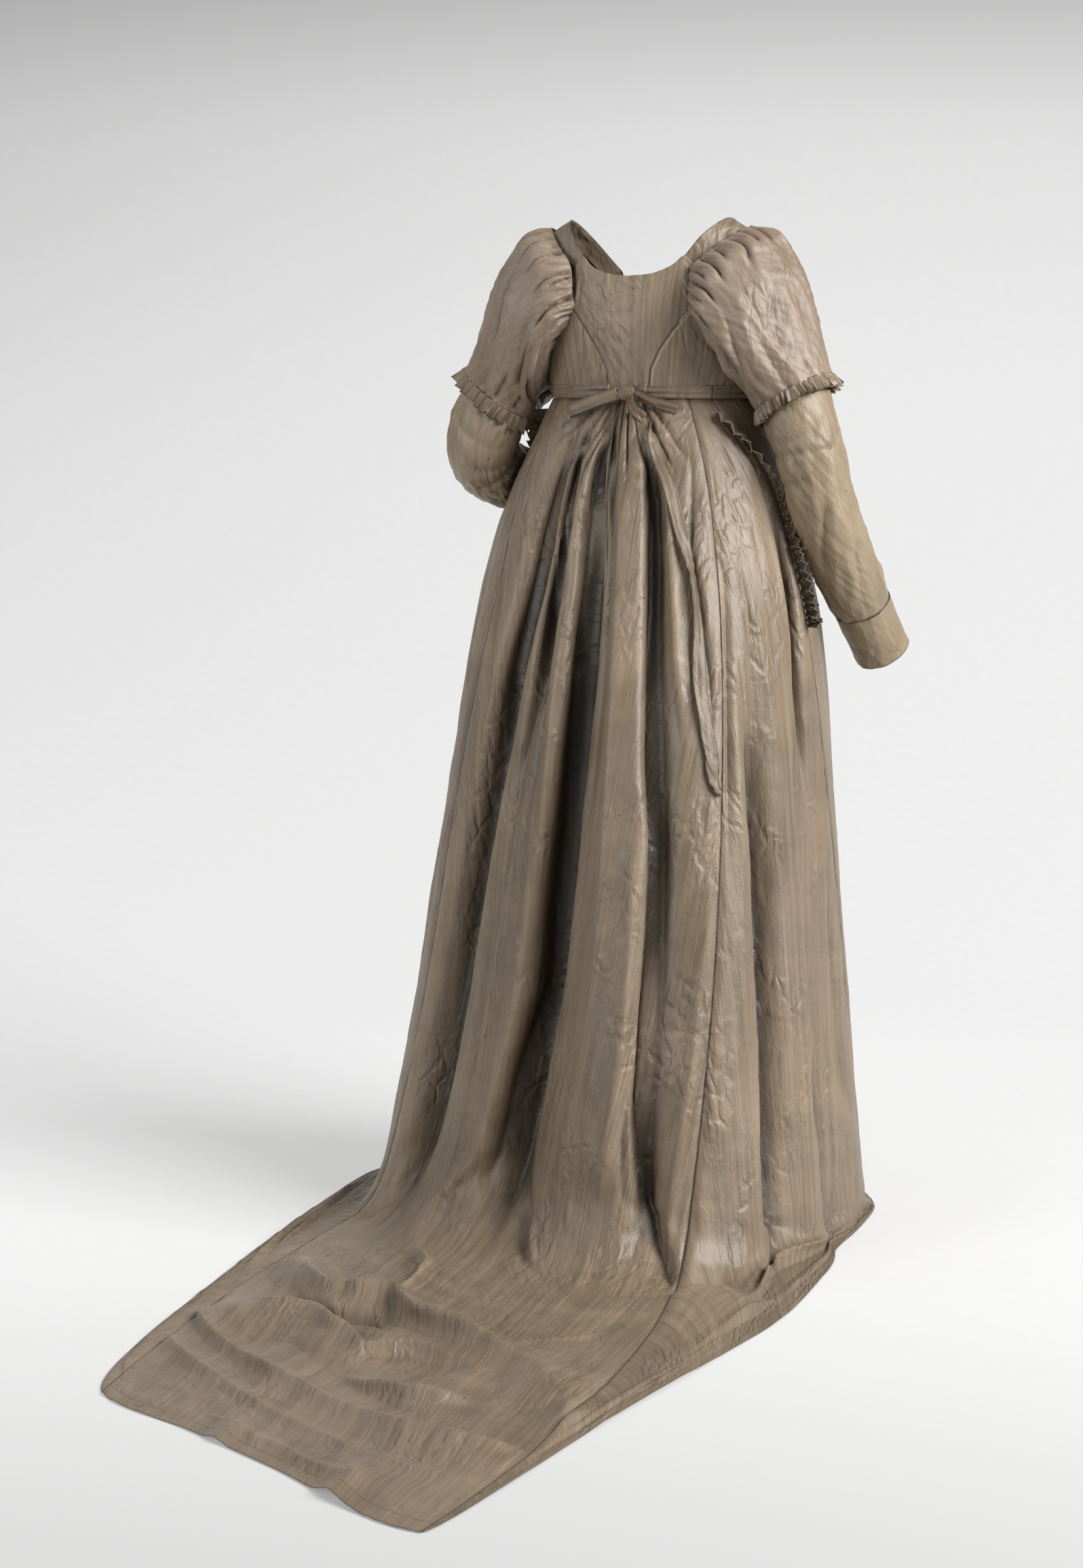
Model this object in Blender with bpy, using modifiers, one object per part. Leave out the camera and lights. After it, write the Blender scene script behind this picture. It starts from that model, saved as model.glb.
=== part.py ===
"""Regency gown in plain silk: raised waist, long train, apron-opening front and double sleeves.

The gown keeps the hollow form in which it was worn. Places are given as (right, back, height): to the
wearer's right, behind the body's axis and above the floor. The frame has +Z up, the front at -Y, the
wearer's right at -X and its origin on the body's axis at the top of the shoulders, in metres.
"""
import math

import bmesh
import bpy
import numpy as np

PLACE = ("right", "back", "height")
SHOULDER_HEIGHT = 1.353   # floor to the top of the shoulder straps
WAIST_HEIGHT = 1.114      # floor to the seam of bodice and skirt
WALL = 0.0012             # every cloth wall
SEAM_GAP = 0.0003
LAYER_GAP = 0.0006        # between a panel and what lies on it

# Skirt outline at a height, as distances from the body's axis; skew carries the back of the right side
# further back than that of the left, and square makes the outline boxier.
SKIRT_SECTIONS = {
    "height": (WAIST_HEIGHT, 1.050, 0.945, 0.815, 0.580, 0.256, 0.000),
    "right":  (0.141, 0.168, 0.200, 0.228, 0.247, 0.270, 0.292),
    "left":   (0.141, 0.170, 0.214, 0.245, 0.284, 0.332, 0.388),
    "front":  (0.106, 0.122, 0.140, 0.158, 0.185, 0.220, 0.250),
    "back":   (0.092, 0.128, 0.172, 0.212, 0.262, 0.302, 0.335),
    "skew":   (0.000, 0.040, 0.100, 0.160, 0.260, 0.340, 0.350),
    "square": (2.000, 2.050, 2.100, 2.200, 2.300, 2.450, 2.500),
}

# Girth counts round the skirt: 0 centre front, 1 left slit, 2 left back seam, 3 right back seam,
# 4 right slit, 5 centre front again. Angles are from straight back, the wearer's right positive.
EDGE_ANGLES = {
    "girth": (0.0, 1.0, 2.0, 3.0, 4.0, 5.0),
    "waist": (-180, -84, -66, 46, 60, 180),
    "seat":  (-180, -104, -58, 47, 80, 180),
    "hip":   (-180, -106, -50, 46, 84, 180),
    "knee":  (-180, -110, -54, 41, 100, 180),
    "floor": (-180, -112, -62, 31, 112, 180),
}
ANGLE_LEVELS = ("waist", "seat", "hip", "knee", "floor")
ANGLE_HEIGHTS = (WAIST_HEIGHT, 1.000, 0.860, 0.420, 0.000)

# Where the hem of sides and train lies on the floor, how far the run to it bows to the wearer's right, and
# how far up the cloth starts to turn on to the floor. Across the front the hem spills out evenly.
HEM = {
    "girth": (1.00, 1.30, 1.60, 2.00, 2.30, 2.55, 3.00, 3.10, 3.20, 3.35, 3.50, 3.70, 4.00),
    "right": (-0.395, -0.436, -0.392, -0.278, -0.120, 0.011, 0.249, 0.296, 0.330, 0.348, 0.335, 0.318, 0.293),
    "back":  (-0.130, 0.010, 0.430, 1.020, 1.100, 1.167, 1.286, 0.860, 0.600, 0.420, 0.230, 0.045, -0.100),
    "bow":   (0.000, 0.000, -0.010, -0.020, -0.010, 0.000, 0.035, 0.020, 0.010, 0.000, 0.000, 0.000, 0.000),
    "turn":  (0.010, 0.030, 0.060, 0.090, 0.120, 0.120, 0.080, 0.070, 0.060, 0.050, 0.035, 0.025, 0.010),
}
FRONT_SPILL = 0.014
FRONT_BLEND = 0.3         # girth over which the sides take over from the front's hem


def place(right, back, height):
    """Frame coordinates of a point given from the body's axis and the floor."""
    right, back, height = np.broadcast_arrays(right, back, height)
    return np.stack([-right, back, height - SHOULDER_HEIGHT], axis=-1).astype(float)


def frame_of(points):
    return place(points[..., 0], points[..., 1], points[..., 2])


def unit(vectors):
    return vectors / np.maximum(np.linalg.norm(vectors, axis=-1, keepdims=True), 1e-9)


def smooth(knots, values, at):
    """A curve through values at knots, without overshoot (monotone cubic)."""
    knots = np.asarray(knots, float)
    values = np.asarray(values, float)
    if knots[0] > knots[-1]:
        knots, values = knots[::-1], values[::-1]
    step = np.diff(knots)
    slope = np.diff(values) / step
    tangent = np.empty_like(values)
    tangent[0], tangent[-1] = slope[0], slope[-1]
    same = slope[:-1] * slope[1:] > 0
    w1, w2 = 2 * step[1:] + step[:-1], step[1:] + 2 * step[:-1]
    with np.errstate(divide="ignore", invalid="ignore"):
        mean = (w1 + w2) / (w1 / slope[:-1] + w2 / slope[1:])
    tangent[1:-1] = np.where(same, mean, 0.0)
    at = np.clip(np.asarray(at, float), knots[0], knots[-1])
    i = np.clip(np.searchsorted(knots, at) - 1, 0, len(step) - 1)
    t = (at - knots[i]) / step[i]
    h = step[i]
    return ((1 + 2 * t) * (1 - t) ** 2 * values[i] + t * (1 - t) ** 2 * h * tangent[i]
            + t * t * (3 - 2 * t) * values[i + 1] + t * t * (t - 1) * h * tangent[i + 1])


def curve(knots, values, at):
    """A smooth curve through values at knots (Catmull-Rom)."""
    knots, values, at = (np.asarray(v, float) for v in (knots, values, at))
    tangent = np.gradient(values, knots)
    i = np.clip(np.searchsorted(knots, at, side="right") - 1, 0, len(knots) - 2)
    h = knots[i + 1] - knots[i]
    t = (at - knots[i]) / h
    return ((1 + 2 * t) * (1 - t) ** 2 * values[i] + t * (1 - t) ** 2 * h * tangent[i]
            + t * t * (3 - 2 * t) * values[i + 1] + t * t * (t - 1) * h * tangent[i + 1])


def linear(knots, values, at):
    knots = np.asarray(knots, float)
    values = np.asarray(values, float)
    if knots[0] > knots[-1]:
        knots, values = knots[::-1], values[::-1]
    return np.interp(at, knots, values)


def skirt_outline(angle, height):
    """(right, back) of the skirt's plain form at an angle in degrees and a height."""
    size = {name: smooth(SKIRT_SECTIONS["height"], SKIRT_SECTIONS[name], height) for name in SKIRT_SECTIONS}
    sin, cos = np.sin(np.radians(angle)), np.cos(np.radians(angle))
    side = np.where(sin > 0, size["right"], size["left"])
    depth = np.where(cos > 0, size["back"], size["front"])
    power = size["square"]
    reach = ((np.abs(sin) / side) ** power + (np.abs(cos) / depth) ** power) ** (-1 / power)
    right, back = reach * sin, reach * cos
    return right, back + size["skew"] * right * np.maximum(cos, 0) ** 1.5


def skirt_angle(girth, height):
    """The angle at which a girth line stands at a height."""
    levels = [linear(EDGE_ANGLES["girth"], EDGE_ANGLES[name], girth) for name in ANGLE_LEVELS]
    return smooth(ANGLE_HEIGHTS, levels, height)


def hem_point(girth, foot):
    """The hem on the floor, given where the cloth would meet the floor."""
    spilled = foot + FRONT_SPILL * unit(foot * np.array([1, 1, 0]))
    laid = np.array([*(smooth(HEM["girth"], HEM[name], girth) for name in ("right", "back")), 0.0])
    share = np.clip(min(girth - 1, 4 - girth) / FRONT_BLEND, 0, 1)
    share = share * share * (3 - 2 * share)
    return spilled * (1 - share) + laid * share


def skirt_line(girth, rows):
    """One line down the plain skirt from waist to hem: rows are 0 to 1 down to the floor's turn,
    1 to 2 round it and 2 to 3 along the floor."""
    heights = np.linspace(WAIST_HEIGHT, 0.0, 90)
    right, back = skirt_outline(skirt_angle(girth, heights), heights)
    fall = np.stack([right, back, heights], axis=-1)
    foot = fall[-1]
    hem = hem_point(girth, foot)
    bow = smooth(HEM["girth"], HEM["bow"], girth)
    t = np.linspace(0, 1, 60)[:, None]
    middle = (foot + hem) / 2 + np.array([2 * bow, 0, 0])
    run = (1 - t) ** 2 * foot + 2 * t * (1 - t) * middle + t * t * hem
    fall_way = np.concatenate([[0], np.cumsum(np.linalg.norm(np.diff(fall, axis=0), axis=1))])
    run_way = np.concatenate([[0], np.cumsum(np.linalg.norm(np.diff(run, axis=0), axis=1))])
    turn = min(smooth(HEM["girth"], HEM["turn"], girth), 0.7 * run_way[-1])

    def on_fall(way):
        return np.stack([np.interp(way, fall_way, fall[:, k]) for k in range(3)], axis=-1)

    def on_run(way):
        return np.stack([np.interp(way, run_way, run[:, k]) for k in range(3)], axis=-1)

    rows = np.asarray(rows, float)[:, None]
    down = on_fall(np.clip(rows[:, 0], 0, 1) * (fall_way[-1] - turn))
    along = on_run(turn + np.clip(rows[:, 0] - 2, 0, 1) * (run_way[-1] - turn))
    s = np.clip(rows - 1, 0, 1)
    top, low = on_fall(fall_way[-1] - turn), on_run(turn)
    bend = (1 - s) ** 2 * top + 2 * s * (1 - s) * foot + s * s * low
    return np.where(rows <= 1, down, np.where(rows >= 2, along, bend))


# Valleys in the skirt: where each stands in girth at four heights, its half width in girth and its depth.
SKIRT_VALLEYS = (
    {"girth": (2.27, 2.20, 2.13, 2.12), "half": 0.050, "depth": (0.001, 0.010, 0.020, 0.022)},
    {"girth": (2.33, 2.30, 2.30, 2.30), "half": 0.035, "depth": (0.001, 0.009, 0.004, 0.000)},
    {"girth": (2.44, 2.48, 2.46, 2.45), "half": 0.055, "depth": (0.002, 0.013, 0.028, 0.034)},
    {"girth": (2.51, 2.56, 2.57, 2.57), "half": 0.035, "depth": (0.002, 0.007, 0.001, 0.000)},
    {"girth": (2.74, 2.76, 2.84, 2.87), "half": 0.055, "depth": (0.000, 0.006, 0.014, 0.016)},
    {"girth": (3.22, 3.25, 3.26, 3.32), "half": 0.070, "depth": (0.000, 0.002, 0.014, 0.016)},
    {"girth": (3.70, 3.66, 3.60, 3.60), "half": 0.080, "depth": (0.000, 0.001, 0.014, 0.014)},
    {"girth": (3.84, 3.80, 3.72, 3.70), "half": 0.045, "depth": (0.000, 0.011, 0.002, 0.000)},
    {"girth": (1.70, 1.66, 1.60, 1.58), "half": 0.100, "depth": (0.000, 0.004, 0.012, 0.014)},
    {"girth": (4.30, 4.34, 4.38, 4.40), "half": 0.070, "depth": (0.001, 0.006, 0.012, 0.013)},
    {"girth": (4.72, 4.73, 4.74, 4.74), "half": 0.060, "depth": (0.001, 0.004, 0.010, 0.012)},
    {"girth": (0.24, 0.22, 0.21, 0.20), "half": 0.065, "depth": (0.001, 0.005, 0.012, 0.012)},
    {"girth": (0.66, 0.62, 0.60, 0.58), "half": 0.070, "depth": (0.001, 0.006, 0.013, 0.014)},
)
VALLEY_HEIGHTS = (WAIST_HEIGHT, 0.860, 0.420, 0.000)
VALLEY_FADE = 0.16        # how far along the floor a valley still draws the cloth in

# Fine pleats at the centre back and gathers across the front, both from the waist seam down.
PLEATS = {"first": 2.225, "last": 2.675, "count": 9, "swing": 0.0022, "fade_height": 0.93}
GATHERS = {"first": 4.20, "last": 5.80, "count": 24, "swing": 0.0012, "fade_height": 1.03}

# Soft ridges across the train: the way of each as (girth, share of the run), its height and its half width.
TRAIN_RIDGES = (
    {"path": ((2.12, 0.27), (2.33, 0.36), (2.45, 0.28), (2.66, 0.33)), "height": 0.028, "half": 0.050},
    {"path": ((2.48, 0.41), (2.62, 0.39), (2.75, 0.35), (2.93, 0.45)), "height": 0.018, "half": 0.045},
    {"path": ((2.58, 0.57), (2.68, 0.60), (2.74, 0.48)), "height": 0.015, "half": 0.045},
    {"path": ((2.10, 0.55), (2.23, 0.46), (2.39, 0.50)), "height": 0.022, "half": 0.045},
    {"path": ((2.32, 0.65), (2.45, 0.73), (2.68, 0.73), (2.89, 0.73)), "height": 0.015, "half": 0.050},
    {"path": ((2.96, 0.47), (3.02, 0.60), (3.05, 0.70)), "height": 0.010, "half": 0.045},
    {"path": ((3.06, 0.02), (3.14, 0.22), (3.20, 0.50)), "height": 0.018, "half": 0.070},
)
RIDGE_FOOT = 0.002        # cut off a ridge's height, so that the cloth beside it lies on the floor


def valley_sink(girth, height):
    """How far the valleys carry the cloth inwards at a girth and a height."""
    sink = np.zeros(np.broadcast(girth, height).shape)
    for valley in SKIRT_VALLEYS:
        middle = smooth(VALLEY_HEIGHTS, valley["girth"], height)
        depth = smooth(VALLEY_HEIGHTS, valley["depth"], height)
        away = (girth - middle + 2.5) % 5 - 2.5
        sink = sink + depth * np.exp(-np.abs(away / valley["half"]) ** 1.7)
    return sink


def gather_swing(girth, height, gathers):
    """The wave of fine pleats, which dies out downwards and at both ends of the gathered stretch."""
    girth = np.where(girth < gathers["first"] - 1, girth + 5, girth)
    share = (girth - gathers["first"]) / (gathers["last"] - gathers["first"])
    down = np.clip((height - gathers["fade_height"]) / (WAIST_HEIGHT - gathers["fade_height"]), 0, 1)
    inside = np.clip(np.minimum(share, 1 - share) * 2 * gathers["count"], 0, 1)
    return gathers["swing"] * inside * np.sqrt(down) * np.cos(2 * np.pi * gathers["count"] * share)


def train_lift(girth, run_share):
    """How far the train stands off the floor at a girth and a share of the run to the hem."""
    lift = np.zeros(np.broadcast(girth, run_share).shape)
    for ridge in TRAIN_RIDGES:
        away = np.full(lift.shape, np.inf)
        for start, end in zip(ridge["path"], ridge["path"][1:]):
            step = np.subtract(end, start)
            share = ((girth - start[0]) * step[0] + (run_share - start[1]) * step[1]) / np.sum(step ** 2)
            share = np.clip(share, 0.0, 1.0)
            off = np.hypot(girth - start[0] - share * step[0], run_share - start[1] - share * step[1])
            away = np.minimum(away, off)
        lift = np.maximum(lift, ridge["height"] * np.exp(-(away / ridge["half"]) ** 2))
    return np.clip(lift - RIDGE_FOOT, 0, None)


def outward(points):
    """Unit normals of a grid whose columns run to the wearer's right as seen from the back."""
    across = np.gradient(points, axis=1)
    down = np.gradient(points, axis=0)
    return unit(np.cross(down, across))


def level_outward(points):
    """Unit vectors that point straight out of each row of such a grid, with no rise or fall."""
    across = unit(np.gradient(points, axis=1) * np.array([1, 1, 0]))
    return np.stack([across[..., 1], -across[..., 0], np.zeros(across.shape[:2])], axis=-1)


def skirt_grid(girths, rows):
    """Points of the skirt's inner side, one row of the grid for each entry of rows."""
    girths = np.asarray(girths, float) % 5.0
    rows = np.asarray(rows, float)
    lines = np.stack([skirt_line(girth, rows) for girth in girths], axis=1)
    points = frame_of(lines)
    height = lines[..., 2]
    girth = np.broadcast_to(girths, height.shape)
    steps = np.linalg.norm(np.diff(points, axis=0), axis=-1) * (rows[1:, None] > 1.0)
    beyond_fall = np.concatenate([np.zeros((1, len(girths))), np.cumsum(steps, axis=0)])
    move = gather_swing(girth, height, PLEATS) + gather_swing(girth, height, GATHERS)
    move = move - valley_sink(girth, height) * np.exp(-(beyond_fall / VALLEY_FADE) ** 1.5)
    points = points + level_outward(points) * move[..., None]
    run_share = np.clip(rows - 2, 0, 1)[:, None]
    points[..., 2] += np.where(run_share > 0, train_lift(girth, run_share), 0)
    return points


# Bodice outline at a height.
BODICE_SECTIONS = {
    "height": (WAIST_HEIGHT, 1.160, 1.200, 1.240, 1.280, 1.310),
    "side":   (0.141, 0.149, 0.155, 0.158, 0.157, 0.150),
    "back":   (0.092, 0.096, 0.098, 0.097, 0.091, 0.083),
    "front":  (0.106, 0.122, 0.132, 0.128, 0.110, 0.098),
}
BODICE_START = WAIST_HEIGHT + 0.0012
SEAM_ROWS = 8
# Half width of the centre back piece, whose edge is the side back seam and then the armhole.
CENTRE_BACK = {
    "height": (BODICE_START, 1.155, 1.180, 1.205, 1.235, 1.256, 1.290),
    "half":   (0.0262, 0.031, 0.043, 0.060, 0.084, 0.081, 0.0855),
}
BACK_NECK = {"across": (0.0, 0.4, 0.7, 0.83, 1.0), "height": (1.276, 1.280, 1.292, 1.302, 1.288)}
SIDE_BACK_TOP = {"across": (0.0, 0.3, 0.6, 1.0), "height": (1.235, 1.203, 1.180, 1.168)}
FRONT_EDGE = {
    "height": (BODICE_START, 1.168, 1.178, 1.200, 1.240, 1.287),
    "angle":  (90, 90, 108, 122, 130, 131),
}
FRONT_NECK = {"across": (0.0, 0.4, 0.7, 0.86, 1.0), "height": (1.215, 1.222, 1.250, 1.286, 1.272)}

# The shoulder strap between its back and front ends, which lie on the bodice.
STRAP = {
    "crown":        0.0012,
    "along":        (0.28, 0.52, 0.76),
    "inner_right":  (0.095, 0.113, 0.110),
    "inner_back":   (0.060, 0.018, -0.038),
    "inner_height": (1.334, 1.353, 1.336),
    "outer_right":  (0.116, 0.139, 0.133),
    "outer_back":   (0.052, 0.015, -0.042),
    "outer_height": (1.319, 1.338, 1.318),
}

# The armhole as a clock seen from the wearer's right: 0 at the top, 90 at the back, 180 under the arm.
ARMHOLE = {
    "clock":  (0, 30, 55, 80, 100, 130, 155, 180, 210, 240, 270, 300, 330, 360),
    "right":  (0.137, 0.115, 0.0845, 0.080, 0.083, 0.116, 0.140,
               0.152, 0.144, 0.124, 0.107, 0.101, 0.126, 0.137),
    "back":   (0.015, 0.051, 0.079, 0.0835, 0.083, 0.063, 0.036,
               0.000, -0.052, -0.082, -0.093, -0.091, -0.050, 0.015),
    "height": (1.338, 1.319, 1.288, 1.256, 1.233, 1.196, 1.174,
               1.166, 1.172, 1.195, 1.240, 1.275, 1.317, 1.338),
}
ARMHOLE_HEART = np.array([0.035, 0.0, 1.225])   # the sleeve's head stands off the armhole, away from here
ARMHOLE_LIFT = 0.0024
# Oversleeve hems: middle, radius, and how much higher the outer side is (degrees).
OVERSLEEVE_HEM = {
    "right": {"middle": (0.209, 0.030, 1.121), "radius": 0.053, "tilt": 27},
    "left":  {"middle": (0.219, 0.020, 1.118), "radius": 0.054, "tilt": 36},
}
PUFF = {
    "along": (0.0, 0.08, 0.16, 0.34, 0.66, 0.885, 1.0),
    "out":   (0.004, 0.022, 0.033, 0.035, 0.020, 0.006, 0.0),
}
PUFF_SHARE = {"clock": (0, 90, 180, 270, 360), "share": (1.0, 0.85, 0.30, 0.85, 1.0)}
PUFF_RISE = np.array([0.25, 0, 0.35])   # leans the puff outwards and upwards
SLEEVE_GATHERS = {
    "count": 20, "swing": 0.0022,
    "along": (0.0, 0.03, 0.08, 0.5), "strength": (0.35, 0.36, 1.0, 0.0),
}

SLEEVE_CLEAR = {"along": (0.0, 0.17), "margin": (0.0030, 0.0060)}   # between oversleeve and plain bodice

# Long sleeves: the arm's way from under the oversleeve to the wrist.
UNDERSLEEVE = {
    "right": {
        "right":  (0.209, 0.223, 0.237, 0.2485, 0.2595, 0.2706, 0.2795, 0.291),
        "back":   (0.030, 0.032, 0.026, 0.015, -0.010, -0.040, -0.075, -0.110),
        "height": (1.121, 1.075, 1.020, 0.967, 0.917, 0.870, 0.823, 0.775),
        "radius": (0.047, 0.045, 0.044, 0.043, 0.0415, 0.040, 0.037, 0.036),
        "clear":  (0.010, 0.010, 0.010, 0.010, 0.010, 0.010, 0.010, 0.010),
    },
    "left": {
        "right":  (0.219, 0.232, 0.241, 0.240, 0.230, 0.209, 0.179, 0.143),
        "back":   (0.020, 0.029, 0.026, 0.000, -0.045, -0.095, -0.142, -0.186),
        "height": (1.118, 1.084, 1.046, 1.018, 1.006, 0.999, 0.993, 0.988),
        "radius": (0.047, 0.046, 0.045, 0.044, 0.042, 0.039, 0.036, 0.034),
        "clear":  (0.010, 0.010, 0.012, 0.022, 0.032, 0.032, 0.032, 0.032),
    },
}
CUFF_START = 0.80         # share of the long sleeve's length above the pieced cuff
ELBOW_END = 0.48          # share of it above the gap below the elbow
CUFF_GAP = 0.0016         # the gap at either of these, as a share of the same length
ARM_COLUMNS = 16
BEND_REACH = 0.07         # how far before and behind a ring the sleeve's direction is taken
UNDER_OVERSLEEVE = 0.0028  # from the inner side of the oversleeve's hem to that of the long sleeve
RUFFLE = {"depth": 0.020, "waves": 20, "swing": 0.0032, "flare": 0.004, "clear": 0.005, "seam": 0.975}
APRON_RUFFLE = {"width": 0.019, "waves": 17, "swing": 0.0032, "start": 0.016, "lowest": 0.30,
                "lift": WALL + LAYER_GAP + 0.0001, "stand": 0.0060}
TAPE_WIDTH = 0.017
TAPE_HEIGHT = WAIST_HEIGHT + 0.0108
TAPE_LIFT = WALL + 0.0008

GIRTH_COLUMNS = {
    "skirt_front": np.linspace(4.0, 6.0, 33),
    "skirt_side_left": np.linspace(1.0, 2.0, 10),
    "skirt_back": np.concatenate([np.linspace(2.0, 2.225, 8)[:-1], np.linspace(2.225, 2.675, 28),
                                  np.linspace(2.675, 3.0, 9)[1:]]),
    "skirt_side_right": np.linspace(3.0, 4.0, 13),
}
FALL_ROWS = (0, 0.03, 0.08, 0.15, 0.24, 0.34, 0.45, 0.56, 0.67, 0.78, 0.89, 1.0)
TURN_ROWS = (1.33, 1.66, 2.0)
RUN_ROWS = (2.09, 2.18, 2.27, 2.36, 2.45, 2.54, 2.65, 2.76, 2.88, 3.0)


def inset(points):
    """Draws a panel's side edges in by half the seam gap."""
    points = points.copy()
    for edge, beside in ((0, 1), (-1, -2)):
        along = unit(np.gradient(points[:, edge], axis=0))
        inwards = points[:, beside] - points[:, edge]
        inwards = unit(inwards - along * np.sum(inwards * along, axis=-1, keepdims=True))
        points[:, edge] += inwards * SEAM_GAP * 0.6
    return points


def bodice_point(angle, height):
    """(right, back, height) of the bodice's inner side; a negative angle is to the wearer's left."""
    side, back, front = (smooth(BODICE_SECTIONS["height"], BODICE_SECTIONS[name], height)
                         for name in ("side", "back", "front"))
    sin, cos = np.sin(np.radians(angle)), np.cos(np.radians(angle))
    reach = 1 / np.hypot(sin / side, cos / np.where(cos > 0, back, front))
    return np.stack(np.broadcast_arrays(reach * sin, reach * cos, height), axis=-1)


def back_angle(right, height):
    """The angle at which the bodice's back is that far to the wearer's right."""
    side, back = (smooth(BODICE_SECTIONS["height"], BODICE_SECTIONS[name], height)
                  for name in ("side", "back"))
    return np.degrees(np.arctan2(right, back * np.sqrt(1 - (right / side) ** 2)))


def mirrored(points, side):
    """Points made for the wearer's right, for that side; columns keep running to the right."""
    if side == "right":
        return points
    flipped = points[:, ::-1].copy()
    flipped[..., 0] *= -1
    return flipped


def bodice_back_centre():
    across = np.array([-1, -0.83, -0.6, -0.4, -0.2, 0, 0.2, 0.4, 0.6, 0.83, 1])[None, :]
    seam_share = (SIDE_BACK_TOP["height"][0] - WAIST_HEIGHT) / (BACK_NECK["height"][-1] - WAIST_HEIGHT)
    up = np.concatenate([[1, 0.92, 0.84], np.linspace(1, 0, SEAM_ROWS) * seam_share])[:, None]
    top = linear(BACK_NECK["across"], BACK_NECK["height"], np.abs(across))
    height = BODICE_START + up * (top - BODICE_START)
    half = linear(CENTRE_BACK["height"], CENTRE_BACK["half"], height) - SEAM_GAP * 0.7
    return frame_of(bodice_point(back_angle(across * half, height), height))


def bodice_side_back(side):
    across = np.linspace(0, 1, 9)[None, :]
    up = np.linspace(1, 0, SEAM_ROWS)[:, None]
    top = smooth(SIDE_BACK_TOP["across"], SIDE_BACK_TOP["height"], across)
    height = BODICE_START + up * (top - BODICE_START)
    half = linear(CENTRE_BACK["height"], CENTRE_BACK["half"], height) + SEAM_GAP * 0.7
    angle = (1 - across) * back_angle(half, height) + across * 89.9
    return frame_of(mirrored(bodice_point(angle, height), side))


def bodice_front():
    side = np.linspace(0.7, 1, 4)[1:]
    across = np.concatenate([-side[::-1], np.linspace(-0.7, 0.7, 11), side])
    up = np.array([1, 0.9, 0.78, 0.66, 0.54, 0.42, 0.3, 0.15, 0])[:, None]
    top = linear(FRONT_NECK["across"], FRONT_NECK["height"], np.abs(across))[None, :]
    height = BODICE_START + up * (top - BODICE_START)
    edge = linear(FRONT_EDGE["height"], FRONT_EDGE["angle"], height) + 0.1
    return frame_of(bodice_point(180 + across * (180 - edge), height))


def strap(side):
    """The strap's grid: its columns run from the neckline to the armhole, its rows from back to front."""
    def corner(across, back):
        table = BACK_NECK if back else FRONT_NECK
        height = linear(table["across"], table["height"], across) + SEAM_GAP
        if back:
            half = linear(CENTRE_BACK["height"], CENTRE_BACK["half"], height)
            return bodice_point(back_angle(across * half, height), height)
        edge = linear(FRONT_EDGE["height"], FRONT_EDGE["angle"], height)
        return bodice_point(180 - across * (180 - edge), height)

    ends = {"inner": (corner(BACK_NECK["across"][-2], True), corner(FRONT_NECK["across"][-2], False)),
            "outer": (corner(1.0, True), corner(1.0, False))}
    along = np.linspace(0, 1, 13)
    edges = []
    for name in ("inner", "outer"):
        first, last = ends[name]
        knots = (0.0,) + STRAP["along"] + (1.0,)
        edges.append(np.stack([
            curve(knots, (first[k],) + STRAP[f"{name}_{axis}"] + (last[k],), along)
            for k, axis in enumerate(PLACE)], axis=-1))
    inner, outer = edges
    grid = np.stack([inner, (inner + outer) / 2, outer], axis=1)
    grid[:, 1, 2] += STRAP["crown"]
    return frame_of(mirrored(grid, side))


def clear_of_body(points, margin):
    """Moves points (right, back, height) straight out to that margin from the plain bodice and skirt."""
    right, back, height = points[..., 0], points[..., 1], points[..., 2]
    angle = np.degrees(np.arctan2(right, back))
    on_skirt = np.hypot(*skirt_outline(angle, height))
    on_bodice = np.linalg.norm(bodice_point(angle, height)[..., :2], axis=-1)
    reach = np.where(height < WAIST_HEIGHT, on_skirt, on_bodice)
    need = (reach + margin) / np.hypot(right, back)
    need = np.where(height > BODICE_SECTIONS["height"][-1], 1.0, np.maximum(need, 1.0))
    return points * np.stack([need, need, np.ones_like(need)], axis=-1)


def sleeve_hem(side, clock):
    hem = OVERSLEEVE_HEM[side]
    tilt, turn = np.radians(hem["tilt"]), np.radians(clock)
    out = np.array([np.cos(tilt), 0, np.sin(tilt)])
    ring = np.cos(turn)[..., None] * out + np.sin(turn)[..., None] * np.array([0, 1, 0])
    return np.array(hem["middle"]) + hem["radius"] * ring, ring


def oversleeve_points(side, clock, along):
    """The oversleeve's inner side, for the wearer's right: the clock goes round, along from head to hem."""
    clock, along = np.broadcast_arrays(np.asarray(clock, float), np.asarray(along, float)[..., None])
    head = np.stack([curve(ARMHOLE["clock"], ARMHOLE[name], clock % 360) for name in PLACE], -1)
    head = head + unit(head - ARMHOLE_HEART) * ARMHOLE_LIFT
    hem, ring = sleeve_hem(side, clock)
    puff = smooth(PUFF["along"], PUFF["out"], along)
    puff = puff * linear(PUFF_SHARE["clock"], PUFF_SHARE["share"], clock % 360)
    chord = unit(hem - head)
    up_out = unit(ring + PUFF_RISE)
    push = unit(up_out - chord * np.sum(up_out * chord, -1, keepdims=True))
    gathers = SLEEVE_GATHERS["swing"] * np.cos(np.radians(clock) * SLEEVE_GATHERS["count"])
    gathers = gathers * linear(SLEEVE_GATHERS["along"], SLEEVE_GATHERS["strength"], along)
    gathers = gathers * np.clip(np.cos(np.radians(clock)) + 0.9, 0, 1)
    points = head + (hem - head) * along[..., None] + push * (puff + gathers)[..., None]
    return clear_of_body(points, linear(SLEEVE_CLEAR["along"], SLEEVE_CLEAR["margin"], along))


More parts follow.
